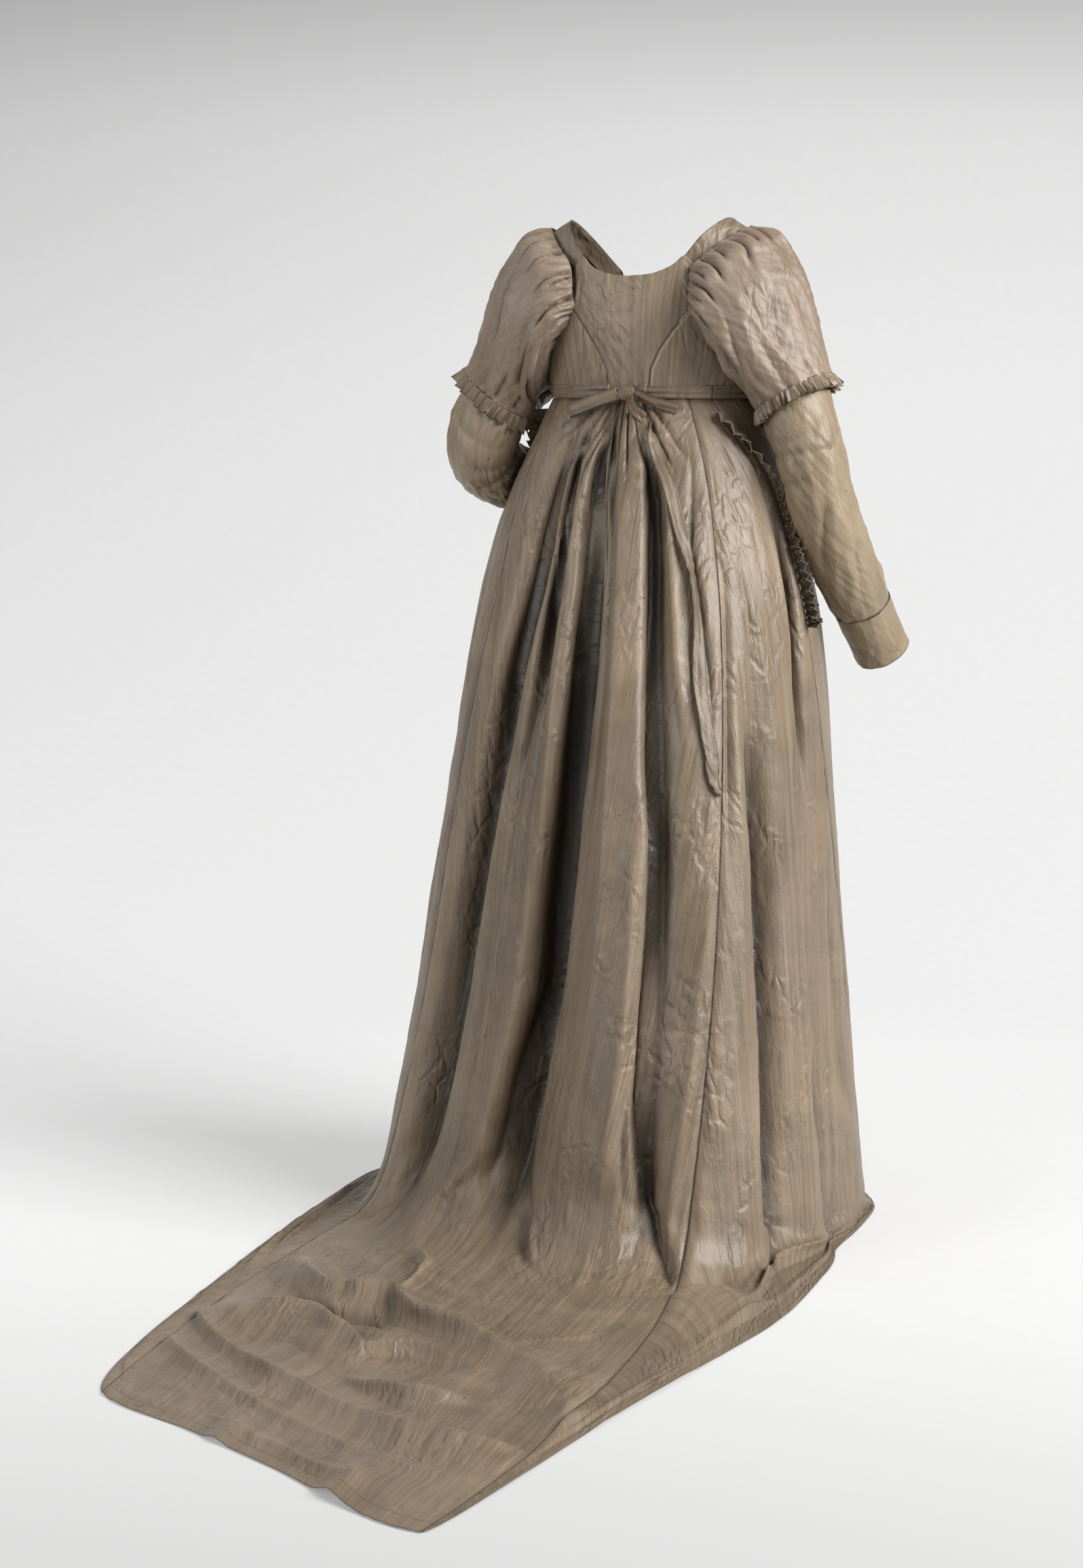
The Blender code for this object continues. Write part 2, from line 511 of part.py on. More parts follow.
def on_oversleeve(side, clock, along, lift):
    """Points at that lift from the oversleeve's inner side, square to the cloth."""
    _, ring = sleeve_hem(side, clock)
    strip = oversleeve_points(side, clock, np.array([along - 0.02, along, along + 0.02]))
    round_it = np.roll(strip, -1, axis=1) - np.roll(strip, 1, axis=1)
    normal = unit(np.cross(strip[2] - strip[0], round_it[1]))
    normal = normal * np.sign(np.sum(normal * ring, axis=-1, keepdims=True))
    return strip[1] + normal * lift


def oversleeve(side):
    clock = np.linspace(0, 360, 37)[:-1]
    along = np.array([0, 0.05, 0.13, 0.25, 0.42, 0.62, 0.82, 1.0])
    return sleeve_frame(oversleeve_points(side, clock, along), side)


def sleeve_frame(points, side):
    """Frame coordinates of rings made for the wearer's right, their columns turned as the wall needs."""
    points = points if side == "right" else points * np.array([-1, 1, 1])
    return frame_of(points if side == "left" else points[:, ::-1])


def undersleeve_points(side, clock, along):
    """The long sleeve's inner side for the wearer's right, from the oversleeve (0) to the wrist (1)."""
    arm = UNDERSLEEVE[side]
    knots = np.linspace(0, 1, len(arm["right"]))

    def middle(at):
        return np.stack([curve(knots, arm[name], np.clip(at, 0, 1)) for name in PLACE], -1)

    along = np.asarray(along, float)
    way = unit(middle(along + BEND_REACH) - middle(along - BEND_REACH))
    tilt = np.radians(OVERSLEEVE_HEM[side]["tilt"])
    out = np.array([np.cos(tilt), 0, np.sin(tilt)])
    outs = []
    for step in way:
        out = unit(out - step * np.dot(out, step))
        outs.append(out)
    outs = np.array(outs)
    backs = np.cross(outs, way)
    turn = np.radians(np.asarray(clock, float))
    ring = np.cos(turn)[None, :, None] * outs[:, None] + np.sin(turn)[None, :, None] * backs[:, None]
    radius = curve(knots, arm["radius"], along)[:, None, None]
    points = middle(along)[:, None] + ring * radius
    return clear_of_body(points, linear(knots, arm["clear"], along)[:, None])


def undersleeve_elbow(side):
    """The long sleeve round the elbow; its first two rings lie inside the oversleeve's hem."""
    clock = np.linspace(0, 360, ARM_COLUMNS + 1)[:-1]
    inside = [on_oversleeve(side, clock, along, -UNDER_OVERSLEEVE) for along in (0.95, 1.0)]
    rings = undersleeve_points(side, clock, np.arange(0.16, ELBOW_END + 0.001, 0.08))
    return sleeve_frame(np.concatenate([inside, rings]), side)


def lower_rings(side, first, last, count):
    """Rings of the long sleeve between two shares of its length."""
    clock = np.linspace(0, 360, ARM_COLUMNS + 1)[:-1]
    return sleeve_frame(undersleeve_points(side, clock, np.linspace(first + CUFF_GAP, last, count)), side)


def sleeve_ruffle(side):
    clock = np.linspace(0, 360, RUFFLE["waves"] * 3 + 1)[:-1]
    _, ring = sleeve_hem(side, clock)
    top = on_oversleeve(side, clock, RUFFLE["seam"], WALL + LAYER_GAP)
    tilt = np.radians(OVERSLEEVE_HEM[side]["tilt"])
    down = np.array([np.sin(tilt), 0, -np.cos(tilt)])
    wave = RUFFLE["swing"] * np.sin(np.radians(clock) * RUFFLE["waves"])[:, None]
    low = top + down * RUFFLE["depth"] + ring * (RUFFLE["flare"] + wave)
    return sleeve_frame(clear_of_body(np.stack([top, low]), RUFFLE["clear"]), side)


def at_girth(girths, heights):
    """Skirt points (inner side) at given girths and heights of the fall, with their outward normals."""
    rows = np.linspace(0, 1, 56)
    points, normals = [], []
    for girth, height in zip(girths, heights):
        strip = skirt_grid([girth - 0.012, girth, girth + 0.012], rows)
        out = outward(strip)[:, 1]
        level = strip[:, 1, 2] + SHOULDER_HEIGHT
        points.append([np.interp(-height, -level, strip[:, 1, k]) for k in range(3)])
        normals.append(unit(np.array([np.interp(-height, -level, out[:, k]) for k in range(3)])))
    return np.array(points), np.array(normals)


def apron_ruffle(side):
    """A frilled strip that lies on the skirt along the slit, its free edge towards the back."""
    waves, samples = APRON_RUFFLE["waves"], APRON_RUFFLE["waves"] * 3 + 1
    girth, towards = (4.0, -1) if side == "right" else (1.0, 1)
    heights = WAIST_HEIGHT - np.linspace(APRON_RUFFLE["start"], APRON_RUFFLE["lowest"], samples)
    edge, normal = at_girth([girth] * samples, heights)
    beside, _ = at_girth([girth + towards * 0.04] * samples, heights)
    along = unit(np.gradient(edge, axis=0))
    across = beside - edge
    across = unit(across - along * np.sum(across * along, -1, keepdims=True))
    wave = APRON_RUFFLE["swing"] * np.sin(np.linspace(0, 2 * np.pi * waves, samples))[:, None]
    seam = edge + normal * APRON_RUFFLE["lift"]
    free = seam + normal * (APRON_RUFFLE["stand"] + wave) + across * APRON_RUFFLE["width"]
    return np.stack([seam, free] if towards > 0 else [free, seam], axis=1)


def waist_tape(first, last, count):
    """A flat tape round the bodice's lower edge from one angle to another."""
    angles = np.linspace(first, last, count)[None, :]
    heights = TAPE_HEIGHT + TAPE_WIDTH * np.array([0.5, 0.0, -0.5])[:, None]
    grid = frame_of(bodice_point(angles, heights))
    return grid + outward(grid) * TAPE_LIFT


def ribbon(path, across, width):
    """A flat ribbon along a path of (right, back, height) points, with the way across it."""
    path, half = np.array(path), unit(np.array(across)) * width / 2
    return frame_of(np.stack([path - half, path + half], axis=1))


# Bow at the centre back: paths as (right, back, height) and the way across each ribbon.
KNOT = {"middle": (0.0, 0.1022, 1.1235), "half": (0.0118, 0.0060, 0.0100), "pinch": 0.14}
BOW_RIBBONS = {
    "bow_loop_left": {
        "width": 0.0165, "across": (-0.31, 0.0, 0.95),
        "path": ((-0.0106, 0.1005, 1.1210), (-0.030, 0.1040, 1.1150), (-0.055, 0.1015, 1.1070),
                 (-0.076, 0.0975, 1.1000), (-0.083, 0.1005, 1.0975), (-0.080, 0.1060, 1.0990),
                 (-0.060, 0.1110, 1.1060), (-0.035, 0.1120, 1.1150), (-0.0106, 0.1060, 1.1230)),
    },
    "bow_end_right": {
        "width": 0.0140, "across": (0.31, 0.0, 0.95),
        "path": ((0.0106, 0.1000, 1.1215), (0.028, 0.1015, 1.1160), (0.050, 0.0985, 1.1090),
                 (0.070, 0.0945, 1.1025)),
    },
    "bow_loop_right": {
        "width": 0.0150, "across": (0.62, 0.0, 0.78),
        "path": ((0.0083, 0.1066, 1.1155), (0.017, 0.1150, 1.1050), (0.028, 0.1195, 1.0960),
                 (0.034, 0.1245, 1.0910), (0.029, 0.1285, 1.0960), (0.018, 0.1240, 1.1060),
                 (0.0090, 0.1102, 1.1178)),
    },
}
TIE = {
    "start":  ((0.0040, 0.1030, 1.1125), (0.0090, 0.1070, 1.1020)),
    "girth":  (2.735, 2.80, 2.85, 2.89, 2.91, 2.92, 2.94, 2.96, 2.968, 2.975),
    "height": (1.085, 1.035, 0.973, 0.906, 0.838, 0.752, 0.698, 0.662, 0.630, 0.612),
    "width": 0.0185,
    "lift": 0.0036,
}
BELT_LOOP = {
    "right": 0.0262, "thread": 0.0007,
    "path": ((0.0945, 1.1355), (0.0985, 1.1330), (0.0990, 1.1240), (0.0990, 1.1150), (0.0998, 1.1120)),
}


def tie_long():
    girths, heights = np.array(TIE["girth"]), np.array(TIE["height"])
    points, normals = at_girth(girths, heights)
    beside, _ = at_girth(girths + 0.02, heights)
    across = unit(beside - points)
    points = points + normals * TIE["lift"]
    start = frame_of(np.array(TIE["start"]))
    points = np.concatenate([start, points])
    across = np.concatenate([np.repeat(across[:1], 2, axis=0), across])
    half = TIE["width"] / 2
    return np.stack([points - across * half, points, points + across * half], axis=1)


# ---- nodes

def material(name, colour, roughness):
    made = bpy.data.materials.new(name)
    made.use_nodes = True
    shader = made.node_tree.nodes["Principled BSDF"]
    shader.inputs["Base Color"].default_value = (*colour, 1)
    shader.inputs["Roughness"].default_value = roughness
    made.diffuse_color = (*colour, 1)
    return made


def loft(name, grid, finish, closed=False, wall=WALL):
    """A cloth wall through a grid of points, seen from outside with its columns running to the right."""
    rows, columns = grid.shape[:2]
    sheet = bmesh.new()
    points = [[sheet.verts.new(grid[i, j]) for j in range(columns)] for i in range(rows)]
    for i in range(rows - 1):
        for j in range(columns if closed else columns - 1):
            k = (j + 1) % columns
            sheet.faces.new((points[i][j], points[i + 1][j], points[i + 1][k], points[i][k]))
    mesh = bpy.data.meshes.new(name)
    sheet.to_mesh(mesh)
    sheet.free()
    mesh.shade_smooth()
    return add_object(name, mesh, finish, wall)


def add_object(name, mesh, finish, wall=None):
    made = bpy.data.objects.new(name, mesh)
    made.data.materials.append(finish)
    bpy.data.collections["regency_gown"].objects.link(made)
    if wall:
        shell = made.modifiers.new("wall", "SOLIDIFY")
        shell.thickness = wall
        shell.offset = 1.0
    return made


def knot(finish):
    lump = bmesh.new()
    bmesh.ops.create_uvsphere(lump, u_segments=14, v_segments=9, radius=1.0)
    for vertex in lump.verts:
        x, y, z = vertex.co
        pinch = 1 - KNOT["pinch"] * math.cos(4 * math.atan2(y, x)) * (1 - z * z)
        vertex.co = (x * pinch * KNOT["half"][0], y * KNOT["half"][1], z * KNOT["half"][2])
    mesh = bpy.data.meshes.new("bow_knot")
    lump.to_mesh(mesh)
    lump.free()
    mesh.shade_smooth()
    made = add_object("bow_knot", mesh, finish)
    made.location = frame_of(np.array(KNOT["middle"]))
    return made


def belt_loop(name, right, finish):
    line = bpy.data.curves.new(name, "CURVE")
    line.dimensions = "3D"
    line.bevel_depth = BELT_LOOP["thread"]
    line.bevel_resolution = 1
    line.use_fill_caps = True
    spline = line.splines.new("POLY")
    spline.points.add(len(BELT_LOOP["path"]) - 1)
    for point, (back, height) in zip(spline.points, BELT_LOOP["path"]):
        point.co = (*place(right, back, height), 1)
    return add_object(name, line, finish)


def build():
    for item in list(bpy.data.objects):
        bpy.data.objects.remove(item)
    group = bpy.data.collections.new("regency_gown")
    bpy.context.scene.collection.children.link(group)

    silk = {"skirt": (0.21, 0.165, 0.115), "bodice": (0.24, 0.19, 0.14), "sleeve": (0.25, 0.20, 0.155),
            "lower_sleeve": (0.23, 0.185, 0.13), "trim": (0.17, 0.135, 0.095), "tape": (0.19, 0.15, 0.11)}

    def silk_for(node, kind):
        return material(f"{node}_silk", silk[kind], 0.5)

    def wall(name, grid, kind, closed=False):
        return loft(name, grid, silk_for(name, kind), closed)

    for name, girths in GIRTH_COLUMNS.items():
        rows = FALL_ROWS + TURN_ROWS + (RUN_ROWS if name != "skirt_front" else (3.0,))
        wall(name, inset(skirt_grid(girths, rows)), "skirt")
    wall("bodice_back_centre", bodice_back_centre(), "bodice")
    wall("bodice_front", bodice_front(), "bodice")
    for side in ("left", "right"):
        wall(f"bodice_side_back_{side}", bodice_side_back(side), "bodice")
        wall(f"shoulder_strap_{side}", strap(side), "bodice")
        wall(f"oversleeve_{side}", oversleeve(side), "sleeve", closed=True)
        wall(f"undersleeve_elbow_{side}", undersleeve_elbow(side), "lower_sleeve", closed=True)
        forearm = lower_rings(side, ELBOW_END, CUFF_START, 5)
        wall(f"undersleeve_forearm_{side}", forearm, "lower_sleeve", closed=True)
        wall(f"sleeve_cuff_{side}", lower_rings(side, CUFF_START, 1.0, 3), "lower_sleeve", closed=True)
        wall(f"sleeve_ruffle_{side}", sleeve_ruffle(side), "trim", closed=True)
        wall(f"apron_ruffle_{side}", apron_ruffle(side), "trim")
    wall("apron_waistband", waist_tape(60, 278, 30), "tape")
    wall("waist_tape_left", waist_tape(-81.7, -0.3, 12), "tape")
    wall("waist_tape_right", waist_tape(0.3, 59.7, 9), "tape")
    for name, bow in BOW_RIBBONS.items():
        wall(name, ribbon(bow["path"], bow["across"], bow["width"]), "tape")
    wall("tie_long", tie_long(), "tape")
    knot(silk_for("bow_knot", "tape"))
    thread = material("belt_loop_thread", (0.55, 0.45, 0.22), 0.7)
    belt_loop("belt_loop_left", -BELT_LOOP["right"], thread)
    belt_loop("belt_loop_right", BELT_LOOP["right"], thread)


build()
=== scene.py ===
"""Regency gown of plain silk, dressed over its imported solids.

The gown keeps the hollow form in which it was worn. Places are given as (right, back, height): to the
wearer's right, behind the body's axis and above the floor. The frame has +Z up, the front at -Y, the
wearer's right at -X and its origin on the body's axis at the top of the shoulders, in metres.
"""

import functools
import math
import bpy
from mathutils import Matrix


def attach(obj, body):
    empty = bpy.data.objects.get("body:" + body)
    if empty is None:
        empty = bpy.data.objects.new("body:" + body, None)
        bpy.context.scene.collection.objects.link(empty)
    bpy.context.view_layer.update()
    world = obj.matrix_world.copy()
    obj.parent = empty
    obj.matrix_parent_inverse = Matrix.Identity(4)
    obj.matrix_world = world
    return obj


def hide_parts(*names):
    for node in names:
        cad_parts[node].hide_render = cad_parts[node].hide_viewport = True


bl_info = {
    "name": "Regency Gown",
    "version": (1, 0, 0),
    "blender": (4, 5, 0),
    "location": "View3D > Sidebar > Gown",
    "description": "Raised-waist silk gown with a spread train, frilled double sleeves and a tied back",
    "category": "Add Mesh",
}

from collections import namedtuple

import bpy
import numpy as np
from mathutils import Vector

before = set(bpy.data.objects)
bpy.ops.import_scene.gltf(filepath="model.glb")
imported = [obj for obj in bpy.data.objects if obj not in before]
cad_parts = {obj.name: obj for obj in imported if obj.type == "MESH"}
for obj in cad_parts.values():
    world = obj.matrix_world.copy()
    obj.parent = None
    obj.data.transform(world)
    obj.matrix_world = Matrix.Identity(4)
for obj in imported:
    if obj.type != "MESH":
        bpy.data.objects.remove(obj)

PLACE = ("right", "back", "height")
SHOULDER_HEIGHT = 1.353   # floor to the top of the shoulder straps
WAIST_HEIGHT = 1.114      # floor to the seam of bodice and skirt
WALL = 0.0012             # the solids' cloth wall
CLOTH = 0.0007            # the cloth shown here
BOW_CLOTH = 0.0005        # the same in the bow
FLOOR = -SHOULDER_HEIGHT

# ---- the gown's plain form: the same tables as its solids have

SKIRT_SECTIONS = {
    "height": (WAIST_HEIGHT, 1.050, 0.945, 0.815, 0.580, 0.256, 0.000),
    "right":  (0.141, 0.168, 0.200, 0.228, 0.247, 0.270, 0.292),
    "left":   (0.141, 0.170, 0.214, 0.245, 0.284, 0.332, 0.388),
    "front":  (0.106, 0.122, 0.140, 0.158, 0.185, 0.220, 0.250),
    "back":   (0.092, 0.128, 0.172, 0.212, 0.262, 0.302, 0.335),
    "skew":   (0.000, 0.040, 0.100, 0.160, 0.260, 0.340, 0.350),
    "square": (2.000, 2.050, 2.100, 2.200, 2.300, 2.450, 2.500),
}
# Girth counts round the skirt: 0 centre front, 1 left slit, 2 left back seam, 3 right back seam,
# 4 right slit, 5 centre front again. Angles are from straight back, the wearer's right positive.
EDGE_ANGLES = {
    "girth": (0.0, 1.0, 2.0, 3.0, 4.0, 5.0),
    "waist": (-180, -84, -66, 46, 60, 180),
    "seat":  (-180, -104, -58, 47, 80, 180),
    "hip":   (-180, -106, -50, 46, 84, 180),
    "knee":  (-180, -110, -54, 41, 100, 180),
    "floor": (-180, -112, -62, 31, 112, 180),
}
ANGLE_LEVELS = ("waist", "seat", "hip", "knee", "floor")
ANGLE_HEIGHTS = (WAIST_HEIGHT, 1.000, 0.860, 0.420, 0.000)
HEM = {
    "girth": (1.00, 1.30, 1.60, 2.00, 2.30, 2.55, 3.00, 3.10, 3.20, 3.35, 3.50, 3.70, 4.00),
    "right": (-0.395, -0.436, -0.392, -0.278, -0.120, 0.011, 0.249, 0.296, 0.330, 0.348, 0.335, 0.318, 0.293),
    "back":  (-0.130, 0.010, 0.430, 1.020, 1.100, 1.167, 1.286, 0.860, 0.600, 0.420, 0.230, 0.045, -0.100),
    "bow":   (0.000, 0.000, -0.010, -0.020, -0.010, 0.000, 0.035, 0.020, 0.010, 0.000, 0.000, 0.000, 0.000),
    "turn":  (0.010, 0.030, 0.060, 0.090, 0.120, 0.120, 0.080, 0.070, 0.060, 0.050, 0.035, 0.025, 0.010),
}
FRONT_SPILL = 0.014
FRONT_BLEND = 0.3

# Half its width, then its girth and its depth at each of the heights.
Valley = namedtuple("Valley", "half girth depth")
SKIRT_VALLEYS = (
    Valley(0.050, (2.27, 2.20, 2.13, 2.12), (0.001, 0.010, 0.020, 0.022)),
    Valley(0.035, (2.33, 2.30, 2.30, 2.30), (0.001, 0.009, 0.004, 0.000)),
    Valley(0.055, (2.44, 2.48, 2.46, 2.45), (0.002, 0.013, 0.028, 0.034)),
    Valley(0.035, (2.51, 2.56, 2.57, 2.57), (0.002, 0.007, 0.001, 0.000)),
    Valley(0.055, (2.74, 2.76, 2.84, 2.87), (0.000, 0.006, 0.014, 0.016)),
    Valley(0.070, (3.22, 3.25, 3.26, 3.32), (0.000, 0.002, 0.014, 0.016)),
    Valley(0.080, (3.70, 3.66, 3.60, 3.60), (0.000, 0.001, 0.014, 0.014)),
    Valley(0.045, (3.84, 3.80, 3.72, 3.70), (0.000, 0.011, 0.002, 0.000)),
    Valley(0.100, (1.70, 1.66, 1.60, 1.58), (0.000, 0.004, 0.012, 0.014)),
    Valley(0.070, (4.30, 4.34, 4.38, 4.40), (0.001, 0.006, 0.012, 0.013)),
    Valley(0.060, (4.72, 4.73, 4.74, 4.74), (0.001, 0.004, 0.010, 0.012)),
    Valley(0.065, (0.24, 0.22, 0.21, 0.20), (0.001, 0.005, 0.012, 0.012)),
    Valley(0.070, (0.66, 0.62, 0.60, 0.58), (0.001, 0.006, 0.013, 0.014)),
)
VALLEY_HEIGHTS = (WAIST_HEIGHT, 0.860, 0.420, 0.000)
VALLEY_FADE = 0.16        # metres beyond the fall over which the valleys die out
VALLEY_DEEPER = 1.55      # the cloth sinks this much further than the solids' valleys
VALLEY_LEFT = 0.62        # share of the half width on a valley's steep left side, then on its right side
VALLEY_RIGHT = {"height": (0.45, 0.75), "share": (1.7, 1.3)}
GATHERS = {"first": 4.20, "last": 5.80, "count": 24, "swing": 0.0016, "fade_height": 1.00}

# Its height, half its width, and its path as (girth, share of the run to the hem).
Ridge = namedtuple("Ridge", "height half path")
TRAIN_RIDGES = (
    Ridge(0.024, 0.070, ((2.12, 0.27), (2.33, 0.36), (2.45, 0.28), (2.66, 0.33))),
    Ridge(0.015, 0.070, ((2.48, 0.41), (2.62, 0.39), (2.75, 0.35), (2.93, 0.45))),
    Ridge(0.012, 0.065, ((2.58, 0.57), (2.68, 0.60), (2.74, 0.48))),
    Ridge(0.018, 0.070, ((2.10, 0.55), (2.23, 0.46), (2.39, 0.50))),
    Ridge(0.011, 0.080, ((2.32, 0.65), (2.45, 0.73), (2.68, 0.73), (2.89, 0.73))),
    Ridge(0.010, 0.050, ((2.96, 0.47), (3.02, 0.60), (3.05, 0.70))),
    Ridge(0.018, 0.075, ((3.06, 0.02), (3.14, 0.22), (3.20, 0.50))),
)
RIDGE_FOOT = 0.002

BODICE_SECTIONS = {
    "height": (WAIST_HEIGHT, 1.160, 1.200, 1.240, 1.280, 1.310),
    "side":   (0.141, 0.149, 0.155, 0.158, 0.157, 0.150),
    "back":   (0.092, 0.096, 0.098, 0.097, 0.091, 0.083),
    "front":  (0.106, 0.122, 0.132, 0.128, 0.110, 0.098),
}
BODICE_START = WAIST_HEIGHT + 0.0012
CENTRE_BACK = {
    "height": (BODICE_START, 1.155, 1.180, 1.205, 1.235, 1.256, 1.290),
    "half":   (0.0262, 0.031, 0.043, 0.060, 0.084, 0.081, 0.0855),
}
BACK_NECK = {"across": (0.0, 0.4, 0.7, 0.83, 1.0), "height": (1.276, 1.280, 1.292, 1.302, 1.288)}
SIDE_BACK_TOP = {"across": (0.0, 0.3, 0.6, 1.0), "height": (1.235, 1.203, 1.180, 1.168)}
FRONT_EDGE = {
    "height": (BODICE_START, 1.168, 1.178, 1.200, 1.240, 1.287),
    "angle":  (90, 90, 108, 122, 130, 131),
}
FRONT_NECK = {"across": (0.0, 0.4, 0.7, 0.86, 1.0), "height": (1.215, 1.222, 1.250, 1.286, 1.272)}
STRAP = {
    "crown":        0.0012,
    "along":        (0.28, 0.52, 0.76),
    "inner_right":  (0.095, 0.113, 0.110),
    "inner_back":   (0.060, 0.018, -0.038),
    "inner_height": (1.334, 1.353, 1.336),
    "outer_right":  (0.116, 0.139, 0.133),
    "outer_back":   (0.052, 0.015, -0.042),
    "outer_height": (1.319, 1.338, 1.318),
}
# The armhole as a clock seen from the wearer's right: 0 at the top, 90 at the back, 180 under the arm.
ARMHOLE = {
    "clock":  (0, 30, 55, 80, 100, 130, 155, 180, 210, 240, 270, 300, 330, 360),
    "right":  (0.137, 0.115, 0.0845, 0.080, 0.083, 0.116, 0.140,
               0.152, 0.144, 0.124, 0.107, 0.101, 0.126, 0.137),
    "back":   (0.015, 0.051, 0.079, 0.0835, 0.083, 0.063, 0.036,
               0.000, -0.052, -0.082, -0.093, -0.091, -0.050, 0.015),
    "height": (1.338, 1.319, 1.288, 1.256, 1.233, 1.196, 1.174,
               1.166, 1.172, 1.195, 1.240, 1.275, 1.317, 1.338),
}
ARMHOLE_HEART = np.array([0.035, 0.0, 1.225])
ARMHOLE_LIFT = 0.0024
OVERSLEEVE_HEM = {
    "right": {"middle": (0.209, 0.030, 1.121), "radius": 0.053, "tilt": 27},
    "left":  {"middle": (0.219, 0.020, 1.118), "radius": 0.054, "tilt": 36},
}
PUFF = {
    "along": (0.0, 0.08, 0.16, 0.34, 0.66, 0.885, 1.0),
    "out":   (0.004, 0.022, 0.033, 0.035, 0.020, 0.006, 0.0),
}
PUFF_SHARE = {"clock": (0, 90, 180, 270, 360), "share": (1.0, 0.85, 0.30, 0.85, 1.0)}
PUFF_RISE = np.array([0.25, 0, 0.35])
SLEEVE_CLEAR = {"along": (0.0, 0.17), "margin": (0.0030, 0.0060)}
UNDERSLEEVE = {
    "right": {
        "right":  (0.209, 0.223, 0.237, 0.2485, 0.2595, 0.2706, 0.2795, 0.291),
        "back":   (0.030, 0.032, 0.026, 0.015, -0.010, -0.040, -0.075, -0.110),
        "height": (1.121, 1.075, 1.020, 0.967, 0.917, 0.870, 0.823, 0.775),
        "radius": (0.047, 0.045, 0.044, 0.043, 0.0415, 0.040, 0.037, 0.036),
        "clear":  (0.010, 0.010, 0.010, 0.010, 0.010, 0.010, 0.010, 0.010),
    },
    "left": {
        "right":  (0.219, 0.232, 0.241, 0.240, 0.230, 0.209, 0.179, 0.143),
        "back":   (0.020, 0.029, 0.026, 0.000, -0.045, -0.095, -0.142, -0.186),
        "height": (1.118, 1.084, 1.046, 1.018, 1.006, 0.999, 0.993, 0.988),
        "radius": (0.047, 0.046, 0.045, 0.044, 0.042, 0.039, 0.036, 0.034),
        "clear":  (0.010, 0.010, 0.012, 0.022, 0.032, 0.032, 0.032, 0.032),
    },
}
CUFF_START = 0.80
BEND_REACH = 0.07
SLEEVE_RUFFLE = {"depth": 0.020, "waves": 31, "flare": 0.004, "seam": 0.975, "clear": 0.006}
APRON_RUFFLE = {"width": 0.019, "waves": 26, "start": 0.016, "lowest": 0.30, "stand": 0.0055}
TAPE_WIDTH = 0.017
TAPE_HEIGHT = WAIST_HEIGHT + 0.0108
TAPE_LIFT = WALL + 0.0008
KNOT = {"middle": (0.0, 0.1022, 1.1235), "half": (0.0118, 0.0060, 0.0100)}
BOW_RIBBONS = {
    "bow_loop_left": {
        "width": 0.0165, "length": 0.165, "across": (-0.31, 0.0, 0.95),
        "path": ((-0.0106, 0.1005, 1.1210), (-0.030, 0.1040, 1.1150), (-0.055, 0.1015, 1.1070),
                 (-0.076, 0.0975, 1.1000), (-0.083, 0.1005, 1.0975), (-0.080, 0.1060, 1.0990),
                 (-0.060, 0.1110, 1.1060), (-0.035, 0.1120, 1.1150), (-0.0106, 0.1060, 1.1230)),
    },
    "bow_end_right": {
        "width": 0.0140, "length": 0.065, "across": (0.31, 0.0, 0.95),
        "path": ((0.0106, 0.1000, 1.1215), (0.028, 0.1015, 1.1160), (0.050, 0.0985, 1.1090),
                 (0.070, 0.0945, 1.1025)),
    },
    "bow_loop_right": {
        "width": 0.0150, "length": 0.072, "across": (0.62, 0.0, 0.78),
        "path": ((0.0083, 0.1066, 1.1155), (0.017, 0.1150, 1.1050), (0.028, 0.1195, 1.0960),
                 (0.034, 0.1245, 1.0910), (0.029, 0.1285, 1.0960), (0.018, 0.1240, 1.1060),
                 (0.0090, 0.1102, 1.1178)),
    },
}
TIE = {
    "start":  ((0.0040, 0.1030, 1.1125), (0.0090, 0.1070, 1.1020)),
    "girth":  (2.735, 2.80, 2.85, 2.89, 2.91, 2.92, 2.94, 2.96, 2.970, 2.988),
    "height": (1.085, 1.035, 0.973, 0.906, 0.838, 0.752, 0.698, 0.662, 0.630, 0.612),
    "width": 0.0185,
    "lift": 0.0042,
}
BELT_LOOP = {
    "right": 0.0262, "thread": 0.00035,
    "path": ((0.0945, 1.1355), (0.0985, 1.1330), (0.0990, 1.1240), (0.0990, 1.1150), (0.0998, 1.1120)),
}


def place(right, back, height):
    """Frame coordinates of a point given from the body's axis and the floor."""
    right, back, height = np.broadcast_arrays(right, back, height)
    return np.stack([-right, back, height - SHOULDER_HEIGHT], axis=-1).astype(float)


def frame_of(points):
    return place(points[..., 0], points[..., 1], points[..., 2])


def unit(vectors):
    return vectors / np.maximum(np.linalg.norm(vectors, axis=-1, keepdims=True), 1e-9)


def ease(value):
    value = np.clip(value, 0, 1)
    return value * value * (3 - 2 * value)


def stretches(*parts):
    """Evenly spaced values over stretches that follow each other, given as (first, last, count)."""
    return np.concatenate([np.linspace(*part)[1 if k else 0:] for k, part in enumerate(parts)])


def way_along(points, axis):
    """Metres from the first point along one axis of a line or a grid."""
    steps = np.linalg.norm(np.diff(points, axis=axis), axis=-1)
    start = np.zeros_like(np.take(steps, [0], axis=axis))
    return np.concatenate([start, np.cumsum(steps, axis=axis)], axis=axis)


def rising(knots, values):
    """Knots and their values as arrays, in rising order."""
    knots, values = np.asarray(knots, float), np.asarray(values, float)
    return (knots[::-1], values[::-1]) if knots[0] > knots[-1] else (knots, values)


def hermite(knots, values, tangent, i, at):
    h = knots[i + 1] - knots[i]
    t = (at - knots[i]) / h
    return ((1 + 2 * t) * (1 - t) ** 2 * values[i] + t * (1 - t) ** 2 * h * tangent[i]
            + t * t * (3 - 2 * t) * values[i + 1] + t * t * (t - 1) * h * tangent[i + 1])


